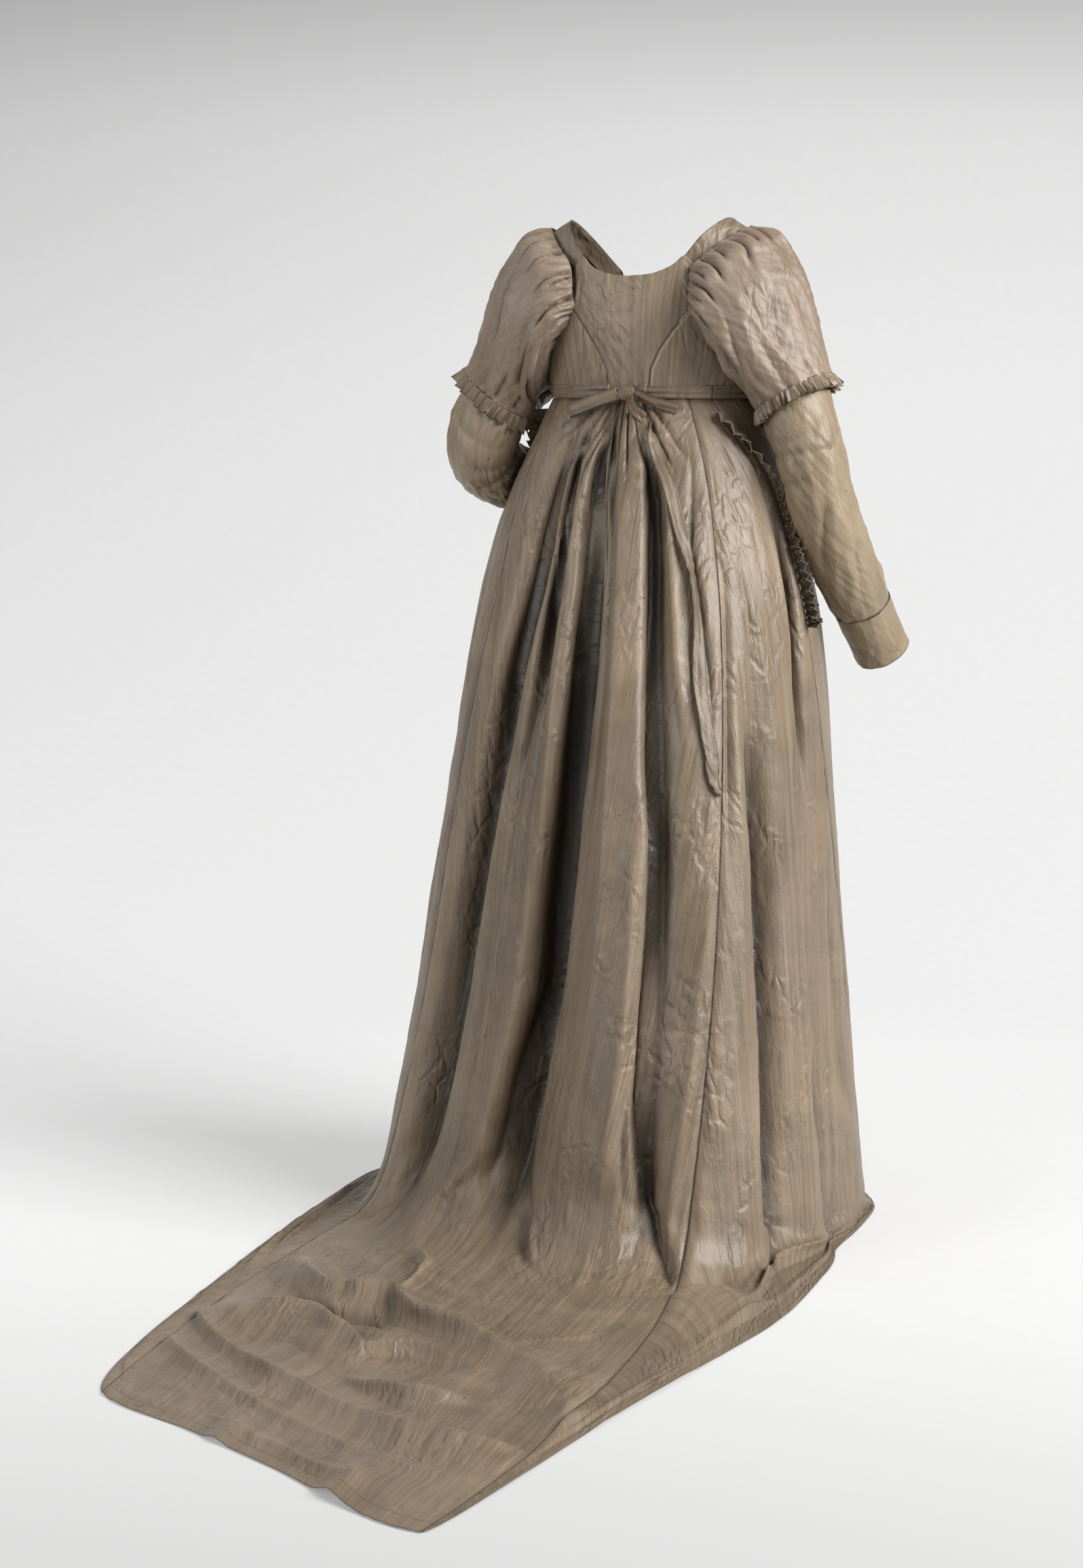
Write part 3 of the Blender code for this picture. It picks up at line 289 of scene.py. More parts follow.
def smooth(knots, values, at):
    """A curve through values at knots, without overshoot (monotone cubic)."""
    knots, values = rising(knots, values)
    step = np.diff(knots)
    slope = np.diff(values) / step
    tangent = np.empty_like(values)
    tangent[0], tangent[-1] = slope[0], slope[-1]
    w1, w2 = 2 * step[1:] + step[:-1], step[1:] + 2 * step[:-1]
    with np.errstate(divide="ignore", invalid="ignore"):
        mean = (w1 + w2) / (w1 / slope[:-1] + w2 / slope[1:])
    tangent[1:-1] = np.where(slope[:-1] * slope[1:] > 0, mean, 0.0)
    at = np.clip(np.asarray(at, float), knots[0], knots[-1])
    return hermite(knots, values, tangent, np.clip(np.searchsorted(knots, at) - 1, 0, len(step) - 1), at)


def curve(knots, values, at):
    """A smooth curve through values at knots (Catmull-Rom)."""
    knots, values, at = (np.asarray(v, float) for v in (knots, values, at))
    i = np.clip(np.searchsorted(knots, at, side="right") - 1, 0, len(knots) - 2)
    return hermite(knots, values, np.gradient(values, knots), i, at)


def linear(knots, values, at):
    return np.interp(at, *rising(knots, values))


def skirt_outline(angle, height):
    """(right, back) of the skirt's plain form at an angle in degrees and a height."""
    size = {name: smooth(SKIRT_SECTIONS["height"], SKIRT_SECTIONS[name], height) for name in SKIRT_SECTIONS}
    sin, cos = np.sin(np.radians(angle)), np.cos(np.radians(angle))
    side = np.where(sin > 0, size["right"], size["left"])
    depth = np.where(cos > 0, size["back"], size["front"])
    power = size["square"]
    reach = ((np.abs(sin) / side) ** power + (np.abs(cos) / depth) ** power) ** (-1 / power)
    right, back = reach * sin, reach * cos
    return right, back + size["skew"] * right * np.maximum(cos, 0) ** 1.5


def skirt_angle(girth, height):
    """The angle at which a girth line stands at a height."""
    levels = [linear(EDGE_ANGLES["girth"], EDGE_ANGLES[name], girth) for name in ANGLE_LEVELS]
    return smooth(ANGLE_HEIGHTS, levels, height)


def hem_point(girth, foot):
    """The hem on the floor, given where the cloth would meet the floor."""
    spilled = foot + FRONT_SPILL * unit(foot * np.array([1, 1, 0]))
    laid = np.array([*(smooth(HEM["girth"], HEM[name], girth) for name in ("right", "back")), 0.0])
    share = ease(min(girth - 1, 4 - girth) / FRONT_BLEND)
    return spilled * (1 - share) + laid * share


def skirt_line(girth, rows):
    """One line down the plain skirt from waist to hem: rows are 0 to 1 down to the floor's turn,
    1 to 2 round it and 2 to 3 along the floor."""
    heights = np.linspace(WAIST_HEIGHT, 0.0, 240)
    right, back = skirt_outline(skirt_angle(girth, heights), heights)
    fall = np.stack([right, back, heights], axis=-1)
    foot = fall[-1]
    hem = hem_point(girth, foot)
    bow = smooth(HEM["girth"], HEM["bow"], girth)

    def bent(t, start, middle, end):
        return (1 - t) ** 2 * start + 2 * t * (1 - t) * middle + t * t * end

    def on(line, ways, way):
        return np.stack([np.interp(way, ways, line[:, k]) for k in range(3)], axis=-1)

    run = bent(np.linspace(0, 1, 160)[:, None], foot, (foot + hem) / 2 + np.array([2 * bow, 0, 0]), hem)
    fall_way, run_way = way_along(fall, 0), way_along(run, 0)
    turn = min(smooth(HEM["girth"], HEM["turn"], girth), 0.7 * run_way[-1])
    rows = np.asarray(rows, float)[:, None]
    down = on(fall, fall_way, np.clip(rows[:, 0], 0, 1) * (fall_way[-1] - turn))
    along = on(run, run_way, turn + np.clip(rows[:, 0] - 2, 0, 1) * (run_way[-1] - turn))
    bend = bent(np.clip(rows - 1, 0, 1), on(fall, fall_way, fall_way[-1] - turn), foot, on(run, run_way, turn))
    return np.where(rows <= 1, down, np.where(rows >= 2, along, bend))


def valley_sink(girth, height):
    """How far the valleys carry the cloth inwards at a girth and a height."""
    sink = np.zeros(np.broadcast(girth, height).shape)
    right = linear(VALLEY_RIGHT["height"], VALLEY_RIGHT["share"], height)
    for valley in SKIRT_VALLEYS:
        middle, depth = (smooth(VALLEY_HEIGHTS, knots, height) for knots in (valley.girth, valley.depth))
        away = (girth - middle + 2.5) % 5 - 2.5
        half = valley.half * np.where(away > 0, right, VALLEY_LEFT)
        sink = sink + VALLEY_DEEPER * depth * np.exp(-np.abs(away / half) ** 1.5)
    return sink


def gather_swing(girth, height):
    """The wave of fine gathers, which dies out downwards and at both ends of the gathered stretch."""
    first, last, count, fade = (GATHERS[name] for name in ("first", "last", "count", "fade_height"))
    girth = np.where(girth < first - 1, girth + 5, girth)
    share = (girth - first) / (last - first)
    down = np.clip((height - fade) / (WAIST_HEIGHT - fade), 0, 1)
    inside = np.clip(np.minimum(share, 1 - share) * 2 * count, 0, 1)
    uneven = share + 0.010 * np.sin(41 * share) + 0.006 * np.sin(97 * share)
    strength = 0.7 + 0.5 * np.sin(29 * share)
    return GATHERS["swing"] * strength * inside * down ** 0.7 * np.cos(2 * np.pi * count * uneven)


def train_lift(girth, run_share):
    """How far the train stands off the floor at a girth and a share of the run to the hem."""
    lift = np.zeros(np.broadcast(girth, run_share).shape)
    for ridge in TRAIN_RIDGES:
        away = np.full(lift.shape, np.inf)
        for (x, y), end in zip(ridge.path, ridge.path[1:]):
            dx, dy = np.subtract(end, (x, y))
            share = np.clip(((girth - x) * dx + (run_share - y) * dy) / (dx ** 2 + dy ** 2), 0.0, 1.0)
            away = np.minimum(away, np.hypot(girth - x - share * dx, run_share - y - share * dy))
        lift = np.maximum(lift, ridge.height * np.exp(-(away / ridge.half) ** 2))
    return np.clip(lift - RIDGE_FOOT, 0, None)


def relief(grid, normals, reach, closed=False):
    """How far each point of a grid stands out from its neighbours up to reach metres to its sides."""
    step = np.linalg.norm(np.diff(grid, axis=1), axis=-1).mean(1)
    half = int(np.clip(round(reach / max(step.mean(), 1e-5)), 2, grid.shape[1] // 3))
    before, after = grid[:, -half:], grid[:, :half]
    if not closed:
        before = 2 * grid[:, :1] - grid[:, half:0:-1]
        after = 2 * grid[:, -1:] - grid[:, -2:-half - 2:-1]
    wrapped = np.concatenate([before, grid, after], 1)
    total = np.cumsum(np.concatenate([np.zeros_like(wrapped[:, :1]), wrapped], 1), axis=1)
    mean = (total[:, 2 * half + 1:] - total[:, :-2 * half - 1]) / (2 * half + 1)
    out = np.sum((grid - mean) * normals, -1)
    return out - np.median(out, axis=1, keepdims=True)


def outward(points):
    """Unit normals of a grid whose columns run to the wearer's right as seen from the back."""
    across = np.gradient(points, axis=1)
    down = np.gradient(points, axis=0)
    return unit(np.cross(down, across))


def level_outward(points):
    """Unit vectors that point straight out of each row of such a grid, with no rise or fall."""
    across = unit(np.gradient(points, axis=1) * np.array([1, 1, 0]))
    return np.stack([across[..., 1], -across[..., 0], np.zeros(across.shape[:2])], axis=-1)


def skirt_grid(girths, rows):
    """Points of the skirt's inner side, one row of the grid for each entry of rows."""
    girths = np.asarray(girths, float) % 5.0
    rows = np.asarray(rows, float)
    lines = np.stack([skirt_line(girth, rows) for girth in girths], axis=1)
    points = frame_of(lines)
    height = lines[..., 2]
    girth = np.broadcast_to(girths, height.shape)
    steps = np.linalg.norm(np.diff(points, axis=0), axis=-1) * (rows[1:, None] > 1.0)
    beyond_fall = np.concatenate([np.zeros((1, len(girths))), np.cumsum(steps, axis=0)])
    move = gather_swing(girth, height)
    move = move - valley_sink(girth, height) * np.exp(-(beyond_fall / VALLEY_FADE) ** 1.5)
    points = points + level_outward(points) * move[..., None]
    run_share = np.clip(rows - 2, 0, 1)[:, None]
    points[..., 2] += np.where(run_share > 0, train_lift(girth, run_share), 0)
    return points


def bodice_point(angle, height):
    """(right, back, height) of the bodice's inner side; a negative angle is to the wearer's left."""
    side, back, front = (smooth(BODICE_SECTIONS["height"], BODICE_SECTIONS[name], height)
                         for name in ("side", "back", "front"))
    sin, cos = np.sin(np.radians(angle)), np.cos(np.radians(angle))
    reach = 1 / np.hypot(sin / side, cos / np.where(cos > 0, back, front))
    return np.stack(np.broadcast_arrays(reach * sin, reach * cos, height), axis=-1)


def back_angle(right, height):
    """The angle at which the bodice's back is that far to the wearer's right."""
    side, back = (smooth(BODICE_SECTIONS["height"], BODICE_SECTIONS[name], height)
                  for name in ("side", "back"))
    return np.degrees(np.arctan2(right, back * np.sqrt(1 - (right / side) ** 2)))


def clear_of_body(points, margin):
    """Moves points (right, back, height) straight out to that margin from the plain bodice and skirt."""
    right, back, height = points[..., 0], points[..., 1], points[..., 2]
    angle = np.degrees(np.arctan2(right, back))
    on_skirt = np.hypot(*skirt_outline(angle, height))
    on_bodice = np.linalg.norm(bodice_point(angle, height)[..., :2], axis=-1)
    reach = np.where(height < WAIST_HEIGHT, on_skirt, on_bodice)
    need = (reach + margin) / np.hypot(right, back)
    need = np.where(height > BODICE_SECTIONS["height"][-1], 1.0, np.maximum(need, 1.0))
    return points * np.stack([need, need, np.ones_like(need)], axis=-1)


def sleeve_hem(side, clock):
    hem = OVERSLEEVE_HEM[side]
    tilt, turn = np.radians(hem["tilt"]), np.radians(clock)
    out = np.array([np.cos(tilt), 0, np.sin(tilt)])
    ring = np.cos(turn)[..., None] * out + np.sin(turn)[..., None] * np.array([0, 1, 0])
    return np.array(hem["middle"]) + hem["radius"] * ring, ring


def oversleeve_points(side, clock, along):
    """The oversleeve's inner side, for the wearer's right: the clock goes round, along from head to hem."""
    clock, along = np.broadcast_arrays(np.asarray(clock, float), np.asarray(along, float)[..., None])
    head = np.stack([curve(ARMHOLE["clock"], ARMHOLE[name], clock % 360) for name in PLACE], -1)
    head = head + unit(head - ARMHOLE_HEART) * ARMHOLE_LIFT
    hem, ring = sleeve_hem(side, clock)
    puff = smooth(PUFF["along"], PUFF["out"], along)
    puff = puff * linear(PUFF_SHARE["clock"], PUFF_SHARE["share"], clock % 360)
    chord = unit(hem - head)
    up_out = unit(ring + PUFF_RISE)
    push = unit(up_out - chord * np.sum(up_out * chord, -1, keepdims=True))
    points = head + (hem - head) * along[..., None] + push * puff[..., None]
    return clear_of_body(points, linear(SLEEVE_CLEAR["along"], SLEEVE_CLEAR["margin"], along))


def on_oversleeve(side, clock, along, lift):
    """Points at that lift from the oversleeve's inner side, square to the cloth."""
    _, ring = sleeve_hem(side, clock)
    strip = oversleeve_points(side, clock, np.array([along - 0.02, along, along + 0.02]))
    round_it = np.roll(strip, -1, axis=1) - np.roll(strip, 1, axis=1)
    normal = unit(np.cross(strip[2] - strip[0], round_it[1]))
    normal = normal * np.sign(np.sum(normal * ring, axis=-1, keepdims=True))
    return strip[1] + normal * lift


def sleeve_frame(points, side):
    """Frame coordinates of rings made for the wearer's right, their columns turned as the wall needs."""
    points = points if side == "right" else points * np.array([-1, 1, 1])
    return frame_of(points if side == "left" else points[:, ::-1])


def undersleeve_points(side, clock, along):
    """The long sleeve's inner side for the wearer's right, from the oversleeve (0) to the wrist (1)."""
    arm = UNDERSLEEVE[side]
    knots = np.linspace(0, 1, len(arm["right"]))

    def middle(at):
        return np.stack([curve(knots, arm[name], np.clip(at, 0, 1)) for name in PLACE], -1)

    along = np.asarray(along, float)
    way = unit(middle(along + BEND_REACH) - middle(along - BEND_REACH))
    tilt = np.radians(OVERSLEEVE_HEM[side]["tilt"])
    out = np.array([np.cos(tilt), 0, np.sin(tilt)])
    outs = []
    for step in way:
        out = unit(out - step * np.dot(out, step))
        outs.append(out)
    outs = np.array(outs)
    backs = np.cross(outs, way)
    turn = np.radians(np.asarray(clock, float))
    ring = np.cos(turn)[None, :, None] * outs[:, None] + np.sin(turn)[None, :, None] * backs[:, None]
    radius = curve(knots, arm["radius"], along)[:, None, None]
    points = middle(along)[:, None] + ring * radius
    return clear_of_body(points, linear(knots, arm["clear"], along)[:, None])


def mirrored(points, side):
    """Points made for the wearer's right, for that side; columns keep running to the right."""
    if side == "right":
        return points
    flipped = points[:, ::-1].copy()
    flipped[..., 0] *= -1
    return flipped


# ---- folds and creases

# A fold runs along path, as pairs of the panel's own coordinates. Depth is in metres, troughs negative.
# On its left side, seen along the path, it is lean times as wide. Its ends die out unless they are open.
Fold = namedtuple("Fold", "path depth width lean open", defaults=("",))
FOLD_ENDS = 0.42          # share of its length over which a fold dies out
SOFT_START = 0.12         # the same at the start of one marked soft


def fold_table(open, *rows):
    """Folds with the same open ends, from rows of depth and width in mm, lean, and the path's points as
    (across, percent down)."""
    return tuple(Fold(tuple((x, y / 100) for x, y in path), depth / 1000, width / 1000, lean, open)
                 for depth, width, lean, *path in rows)


def drift(u, v, grain, seed):
    """Smooth random values from -1 to 1 over a cloth; grain is the size of a swell across and down."""
    table = np.random.default_rng(seed).uniform(-1, 1, (64, 64))
    x, y = u / grain[0] + 7.3, v / grain[1] + 3.1
    i, j = np.floor(x).astype(int), np.floor(y).astype(int)
    s, t = ease(x - i), ease(y - j)
    i, j, k, m = i % 64, j % 64, (i + 1) % 64, (j + 1) % 64
    return ((1 - s) * (1 - t) * table[i, j] + s * (1 - t) * table[k, j]
            + (1 - s) * t * table[i, m] + s * t * table[k, m])


def facets(u, v, grain, seed):
    """Heights from 0 to about 1 of a crumpled sheet: rounded dents that meet in sharp ridges."""
    rng = np.random.default_rng(seed)
    shift, lift = rng.uniform(0, 1, (64, 64, 2)), rng.uniform(0, 0.35, (64, 64))
    bend = drift(u, v, (3 * grain[0], 3 * grain[1]), seed + 1)
    x, y = u / grain[0] + 0.5 * bend + 5.0, v / grain[1] - 0.5 * bend + 5.0
    i, j = np.floor(x).astype(int), np.floor(y).astype(int)
    near = np.full(np.broadcast(x, y).shape, np.inf)
    for a in (-1, 0, 1):
        for b in (-1, 0, 1):
            k, m = (i + a) % 64, (j + b) % 64
            off = np.sqrt((i + a + shift[k, m, 0] - x) ** 2 + (j + b + shift[k, m, 1] - y) ** 2 + 0.02)
            near = np.minimum(near, off + lift[k, m])
    return near


def window(values, axis, path, margin):
    """The slice of a grid's lines that come within a margin of a path, or None."""
    near = (values.max(axis) > path.min() - margin) & (values.min(axis) < path.max() + margin)
    near = np.flatnonzero(near)
    return slice(near[0], near[-1] + 1) if len(near) else None


def fold_heights(across, down, scale, folds, narrow=None):
    """What folds add to a panel: across and down are its coordinates, scale their metres at each point.
    Narrow, if given, is the share of its width that a fold has in each row."""
    total = np.zeros(np.broadcast(across, down).shape)
    across, down, wide, tall = (np.broadcast_to(part, total.shape) for part in (across, down, *scale))
    for fold in folds:
        path = np.array(fold.path, float)
        reach = 3.2 * fold.width * max(1.0, fold.lean)
        rows = window(down, 1, path[:, 1], reach / tall.min())
        if rows is None:
            continue
        columns = window(across[rows], 0, path[:, 0], reach / max(wide[rows].min(), 1e-6))
        if columns is None:
            continue
        part = (rows, columns)
        gx, gy, mx, my = across[part], down[part], wide[part], tall[part]
        best, side, where = np.full(gx.shape, np.inf), np.ones(gx.shape), np.zeros(gx.shape)
        lengths = np.hypot(np.diff(path[:, 0]) * mx.mean(), np.diff(path[:, 1]) * my.mean())
        starts = np.concatenate([[0], np.cumsum(lengths)])
        for (x0, y0), (x1, y1), first, length in zip(path, path[1:], starts, lengths):
            dx, dy = (x1 - x0) * mx, (y1 - y0) * my
            qx, qy = (gx - x0) * mx, (gy - y0) * my
            t = np.clip((qx * dx + qy * dy) / np.maximum(dx * dx + dy * dy, 1e-12), 0, 1)
            off = np.hypot(qx - t * dx, qy - t * dy)
            closer = off < best
            best = np.where(closer, off, best)
            side = np.where(closer, np.sign(dx * qy - dy * qx), side)
            where = np.where(closer, first + t * length, where)
        width = fold.width * np.where(side > 0, fold.lean, 1.0)
        share = where / starts[-1]
        ends = np.ones(gx.shape)
        if "start" not in fold.open:
            ends = ends * ease(share / (SOFT_START if "soft" in fold.open else FOLD_ENDS))
        if "end" not in fold.open:
            ends = ends * ease((1 - share) / FOLD_ENDS)
        x = best / (width if narrow is None else width * narrow[rows])
        total[part] += fold.depth * ends * np.exp(-x ** 1.55) * (1 - 0.18 * x)
    return total


def scattered(count, span_across, span_down, seed, length, width, depth, slope, scale):
    """Seeded short creases: slope is the range of their angle in degrees from straight down."""
    rng = np.random.default_rng(seed)
    made = []
    for _ in range(count):
        x, y = rng.uniform(*span_across), rng.uniform(*span_down)
        size, turn = rng.uniform(*length), math.radians(rng.uniform(*slope))
        bend = rng.uniform(-0.35, 0.35)
        path = tuple((x + t * size * math.sin(turn + bend * t) / scale[0],
                      y + t * size * math.cos(turn + bend * t) / scale[1]) for t in (-0.5, -0.17, 0.17, 0.5))
        made.append(Fold(path, rng.uniform(*depth) * rng.choice((-1, 1)), rng.uniform(*width),
                         rng.uniform(0.6, 1.7)))
    return made


# The skirt's folds, their paths as (girth, row in percent): those to the floor, the pleats that fan out from
# under the knot, and the rest. A row of 100 is the end of the fall, 200 the start of the run and 300 the hem.
SKIRT_FOLDS = (
    # the deep folds that run from the waist to the floor
    *fold_table(
        "soft",
        (-25.5, 15.5, 0.9, (2.3, 2), (2.22, 8), (2.2, 14), (2.19, 20), (2.18, 28), (2.165, 36), (2.18, 46),
         (2.17, 56), (2.155, 68), (2.165, 80), (2.17, 92), (2.14, 115)),
        (-16, 7.5, 1.3, (2.38, 3), (2.315, 9), (2.295, 16), (2.305, 24), (2.33, 36), (2.35, 46), (2.345, 60)),
        (-30, 18.5, 0.62, (2.455, 3), (2.43, 9), (2.415, 17), (2.44, 25), (2.46, 36), (2.46, 46), (2.46, 57),
         (2.452, 68), (2.452, 78), (2.425, 88), (2.4, 110), (2.42, 135)),
        (-12, 4.8, 1.2, (2.475, 2), (2.455, 10), (2.457, 20), (2.47, 30)),
        (-13, 5, 1.2, (2.5, 2), (2.52, 8), (2.5, 14), (2.52, 19), (2.53, 27)),
        (-28, 16.5, 0.7, (2.68, 2), (2.73, 8), (2.76, 14), (2.75, 20), (2.75, 28), (2.75, 38), (2.76, 46),
         (2.8, 56), (2.81, 68), (2.803, 78), (2.815, 88), (2.89, 105), (2.96, 130))),
    *fold_table(
        "",
        (-8.5, 4.2, 1, (2.955, 4), (2.93, 12), (2.905, 20), (2.93, 28), (2.955, 36), (2.962, 46)),
        (-31, 22, 1, (3.12, 28), (3.16, 36), (3.23, 45), (3.28, 56), (3.295, 67), (3.31, 78), (3.32, 92),
         (3.3, 115)),
        (-8, 6.5, 1, (3.045, 16), (3.03, 26), (3.03, 38), (3.035, 48), (3.04, 62)),
        (-15, 8, 1.2, (3.92, 10), (3.86, 19), (3.82, 26), (3.73, 36), (3.72, 50))),
    *fold_table(
        "start",
        (-12.6, 5.7, 1.5, (2.475, -2), (2.36, 4), (2.23, 10), (2.18, 20), (2.17, 32)),
        (-14.7, 4.7, 1.6, (2.49, -2), (2.42, 4), (2.3, 10), (2.26, 20), (2.3, 30), (2.31, 40), (2.28, 55)),
        (-11.5, 4, 1.4, (2.5, -2), (2.45, 4), (2.36, 10), (2.325, 20), (2.33, 28)),
        (-16.8, 5.5, 1.5, (2.512, -2), (2.48, 5), (2.435, 10), (2.42, 20), (2.44, 30), (2.47, 40), (2.475, 60)),
        (-11.5, 3.8, 1.3, (2.528, -2), (2.51, 5), (2.49, 10), (2.485, 20), (2.48, 32)),
        (-10.5, 4.3, 1.2, (2.555, -2), (2.553, 5), (2.55, 10), (2.57, 24)),
        (-7.4, 4.3, 1, (2.59, -2), (2.61, 6), (2.63, 13)),
        (-5.5, 4, 0.8, (2.61, -2), (2.67, 5), (2.735, 10), (2.765, 20), (2.75, 34)),
        (-8.4, 5.7, 0.8, (2.65, -2), (2.78, 5), (2.88, 11)),
        (-6.3, 5.7, 1, (2.69, -2), (2.85, 4), (2.96, 10)),
        (-8.8, 5.7, 1.3, (2.44, -2), (2.25, 3.5), (2.1, 7)),
        (-6.3, 5.2, 1.3, (2.4, -2), (2.2, 2.5), (2.06, 5))),
    # the deep folds' lower parts, wider than their tops
    *fold_table(
        "",
        (-12, 12, 1, (2.76, 58), (2.775, 76), (2.79, 93), (2.85, 110)),
        (-12, 10.5, 1, (2.46, 58), (2.48, 76), (2.46, 92), (2.45, 105)),
        (-9, 8.5, 1, (2.19, 56), (2.19, 76), (2.185, 92))),
    # bright ridges between the deep folds
    *fold_table(
        "",
        (10.5, 10.4, 1.6, (2.4, 62), (2.4, 80), (2.36, 105), (2.29, 135), (2.27, 175), (2.31, 195)),
        (5.3, 5.7, 1.4, (2.31, 50), (2.31, 70), (2.31, 95)),
        (4.2, 7.6, 1, (2.22, 36), (2.24, 55), (2.22, 75), (2.2, 98)),
        (6, 8.5, 0.8, (2.38, 30), (2.4, 45), (2.41, 62))),
    *fold_table(
        "soft",
        (8.5, 18.5, 1, (2.61, 7), (2.61, 20), (2.62, 35), (2.65, 62), (2.64, 95)),
        (8, 12, 0.8, (2.81, 8), (2.82, 20), (2.84, 34), (2.89, 50))),
    *fold_table(
        "",
        (5.3, 11.4, 0.8, (2.72, 45), (2.74, 60), (2.76, 80), (2.75, 110)),
        (6, 9.5, 1, (2.98, 55), (2.96, 75), (2.95, 100), (2.96, 140))),
    # feet of the deep folds, which hook to the right as they meet the floor
    *fold_table(
        "",
        (-15.4, 16.2, 1.2, (2.46, 95), (2.5, 120), (2.56, 150), (2.64, 174), (2.72, 185)),
        (8.4, 9.5, 1, (2.56, 120), (2.58, 145), (2.62, 166), (2.7, 178)),
        (-20, 15.5, 1, (2.86, 90), (2.9, 115), (2.95, 140), (2.98, 160), (2.985, 186)),
        (9.1, 10.4, 1, (3, 105), (3, 140), (3.04, 162), (3.12, 176)),
        (-8.4, 11.4, 1.3, (2.12, 100), (2.1, 135), (2.06, 175), (2.04, 204), (2.02, 216))),
    # across the train
    *fold_table(
        "",
        (19.5, 20, 0.5, (2.09, 220), (2.17, 229), (2.27, 234), (2.36, 233), (2.44, 229), (2.54, 233),
         (2.66, 234), (2.8, 237), (2.93, 244)),
        (-18, 11, 1.2, (2.13, 233), (2.23, 239), (2.33, 241), (2.42, 237), (2.52, 241)),
        (17.3, 20, 0.5, (2.06, 247), (2.16, 247), (2.28, 244), (2.38, 249), (2.47, 250), (2.58, 243), (2.7, 242),
         (2.82, 246)),
        (-13.5, 11, 1.3, (2.4, 255), (2.5, 257), (2.62, 250), (2.72, 249)),
        (13.5, 18, 0.6, (2.46, 260), (2.56, 263), (2.68, 262), (2.78, 257), (2.86, 255))),
    *fold_table(
        "start end",
        (10.5, 24, 0.6, (2.03, 260), (2.18, 266), (2.36, 271), (2.55, 274), (2.75, 274), (2.94, 271)),
        (9, 22, 0.7, (2.05, 274), (2.22, 279), (2.45, 284), (2.7, 285), (2.95, 282))),
    *fold_table(
        "",
        (6.7, 18, 0.8, (2.3, 292), (2.5, 294), (2.72, 294), (2.9, 291))),
    *fold_table(
        "start",
        (11, 30, 1, (2.74, 304), (2.76, 294), (2.74, 284)),
        (7, 26, 1, (2.36, 304), (2.4, 295), (2.42, 288))),
    *fold_table(
        "",
        (9, 9.6, 1, (2.96, 247), (3, 257), (3.05, 267)),
        (6.7, 6, 1, (2.7, 230), (2.79, 224), (2.88, 220), (3, 221)),
        (16.5, 9, 0.7, (2.21, 193), (2.3, 195), (2.39, 204), (2.4, 214), (2.38, 226)),
        (-13.5, 9, 1, (2.32, 202), (2.35, 212), (2.34, 224))),
    # right gore
    *fold_table(
        "",
        (21, 15, 0.8, (3.65, 140), (3.45, 160), (3.3, 190), (3.21, 227), (3.12, 238)),
        (7.5, 10.4, 1, (3.29, 122), (3.24, 160), (3.19, 210), (3.15, 225)),
        (-9, 10.4, 1, (3.4, 150), (3.3, 175), (3.24, 205), (3.2, 220)),
        (4.5, 11.4, 1, (3.1, 30), (3.12, 55), (3.1, 85)),
        (3.9, 11.4, 1, (3.2, 12), (3.34, 30), (3.46, 55)),
        (6, 14.2, 1, (3.5, 45), (3.5, 70), (3.47, 100), (3.44, 130)),
        (-9, 5.7, 1.5, (3.81, 26), (3.76, 40), (3.72, 52)),
        (-7.5, 7.6, 1.3, (3.88, 50), (3.84, 70), (3.8, 90))),
    # left side
    *fold_table(
        "",
        (7.5, 10.4, 1, (1.32, 280), (1.5, 255), (1.67, 234), (1.89, 233)),
        (6.7, 10.4, 1, (1.45, 288), (1.64, 260), (1.8, 246), (1.97, 242)),
        (-5.3, 12.3, 1, (1.2, 10), (1.3, 35), (1.34, 70)),
        (6, 12.3, 1, (1.85, 50), (1.8, 80), (1.78, 110))),
    # front, much as at the back but softer
    *fold_table(
        "",
        (-6.8, 11.4, 1.4, (4.5, 2), (4.5, 30), (4.52, 65)),
        (-5.1, 8.5, 1, (4.62, 0), (4.58, 20), (4.6, 42)),
        (-6.8, 12.3, 0.8, (4.86, 2), (4.84, 35), (4.86, 85)),
        (-5.8, 9.5, 1.3, (5.06, 0), (5.07, 28), (5.05, 58)),
        (-7.1, 13.3, 1.2, (5.38, 2), (5.4, 40), (5.43, 95)),
        (-5.1, 8.5, 0.8, (5.55, 0), (5.52, 22), (5.53, 50)),
        (-6.5, 11.4, 1.4, (5.8, 3), (5.82, 38), (5.8, 80)),
        (5.1, 11.4, 1, (4.22, 5), (4.2, 40), (4.18, 90)),
        (5.1, 14.2, 1, (4.97, 40), (4.98, 75), (4.96, 100)),
        (4.8, 14.2, 1, (5.22, 30), (5.24, 70), (5.22, 100))),
)
# Short creases: count, rows, length, width, depth, slope and metres per row. The front has the first two alone.
SKIRT_CREASES = (
    (90, (0.05, 1.0), (0.04, 0.16), (0.003, 0.008), (0.0004, 0.0012), (-14, 14), 1.1),
    (70, (0.35, 1.6), (0.02, 0.07), (0.0025, 0.005), (0.0004, 0.0011), (-75, 75), 0.9),
    (110, (1.2, 3.0), (0.03, 0.11), (0.004, 0.008), (0.0005, 0.0016), (20, 130), 0.7),
)
# Marks left by folding the gown away: straight creases across, as (row, depth).
FOLD_MARKS = ((0.487, -0.0006), (0.545, 0.0005), (0.585, -0.0004), (0.735, 0.0004), (0.775, -0.0006), (0.93, 0.0004))

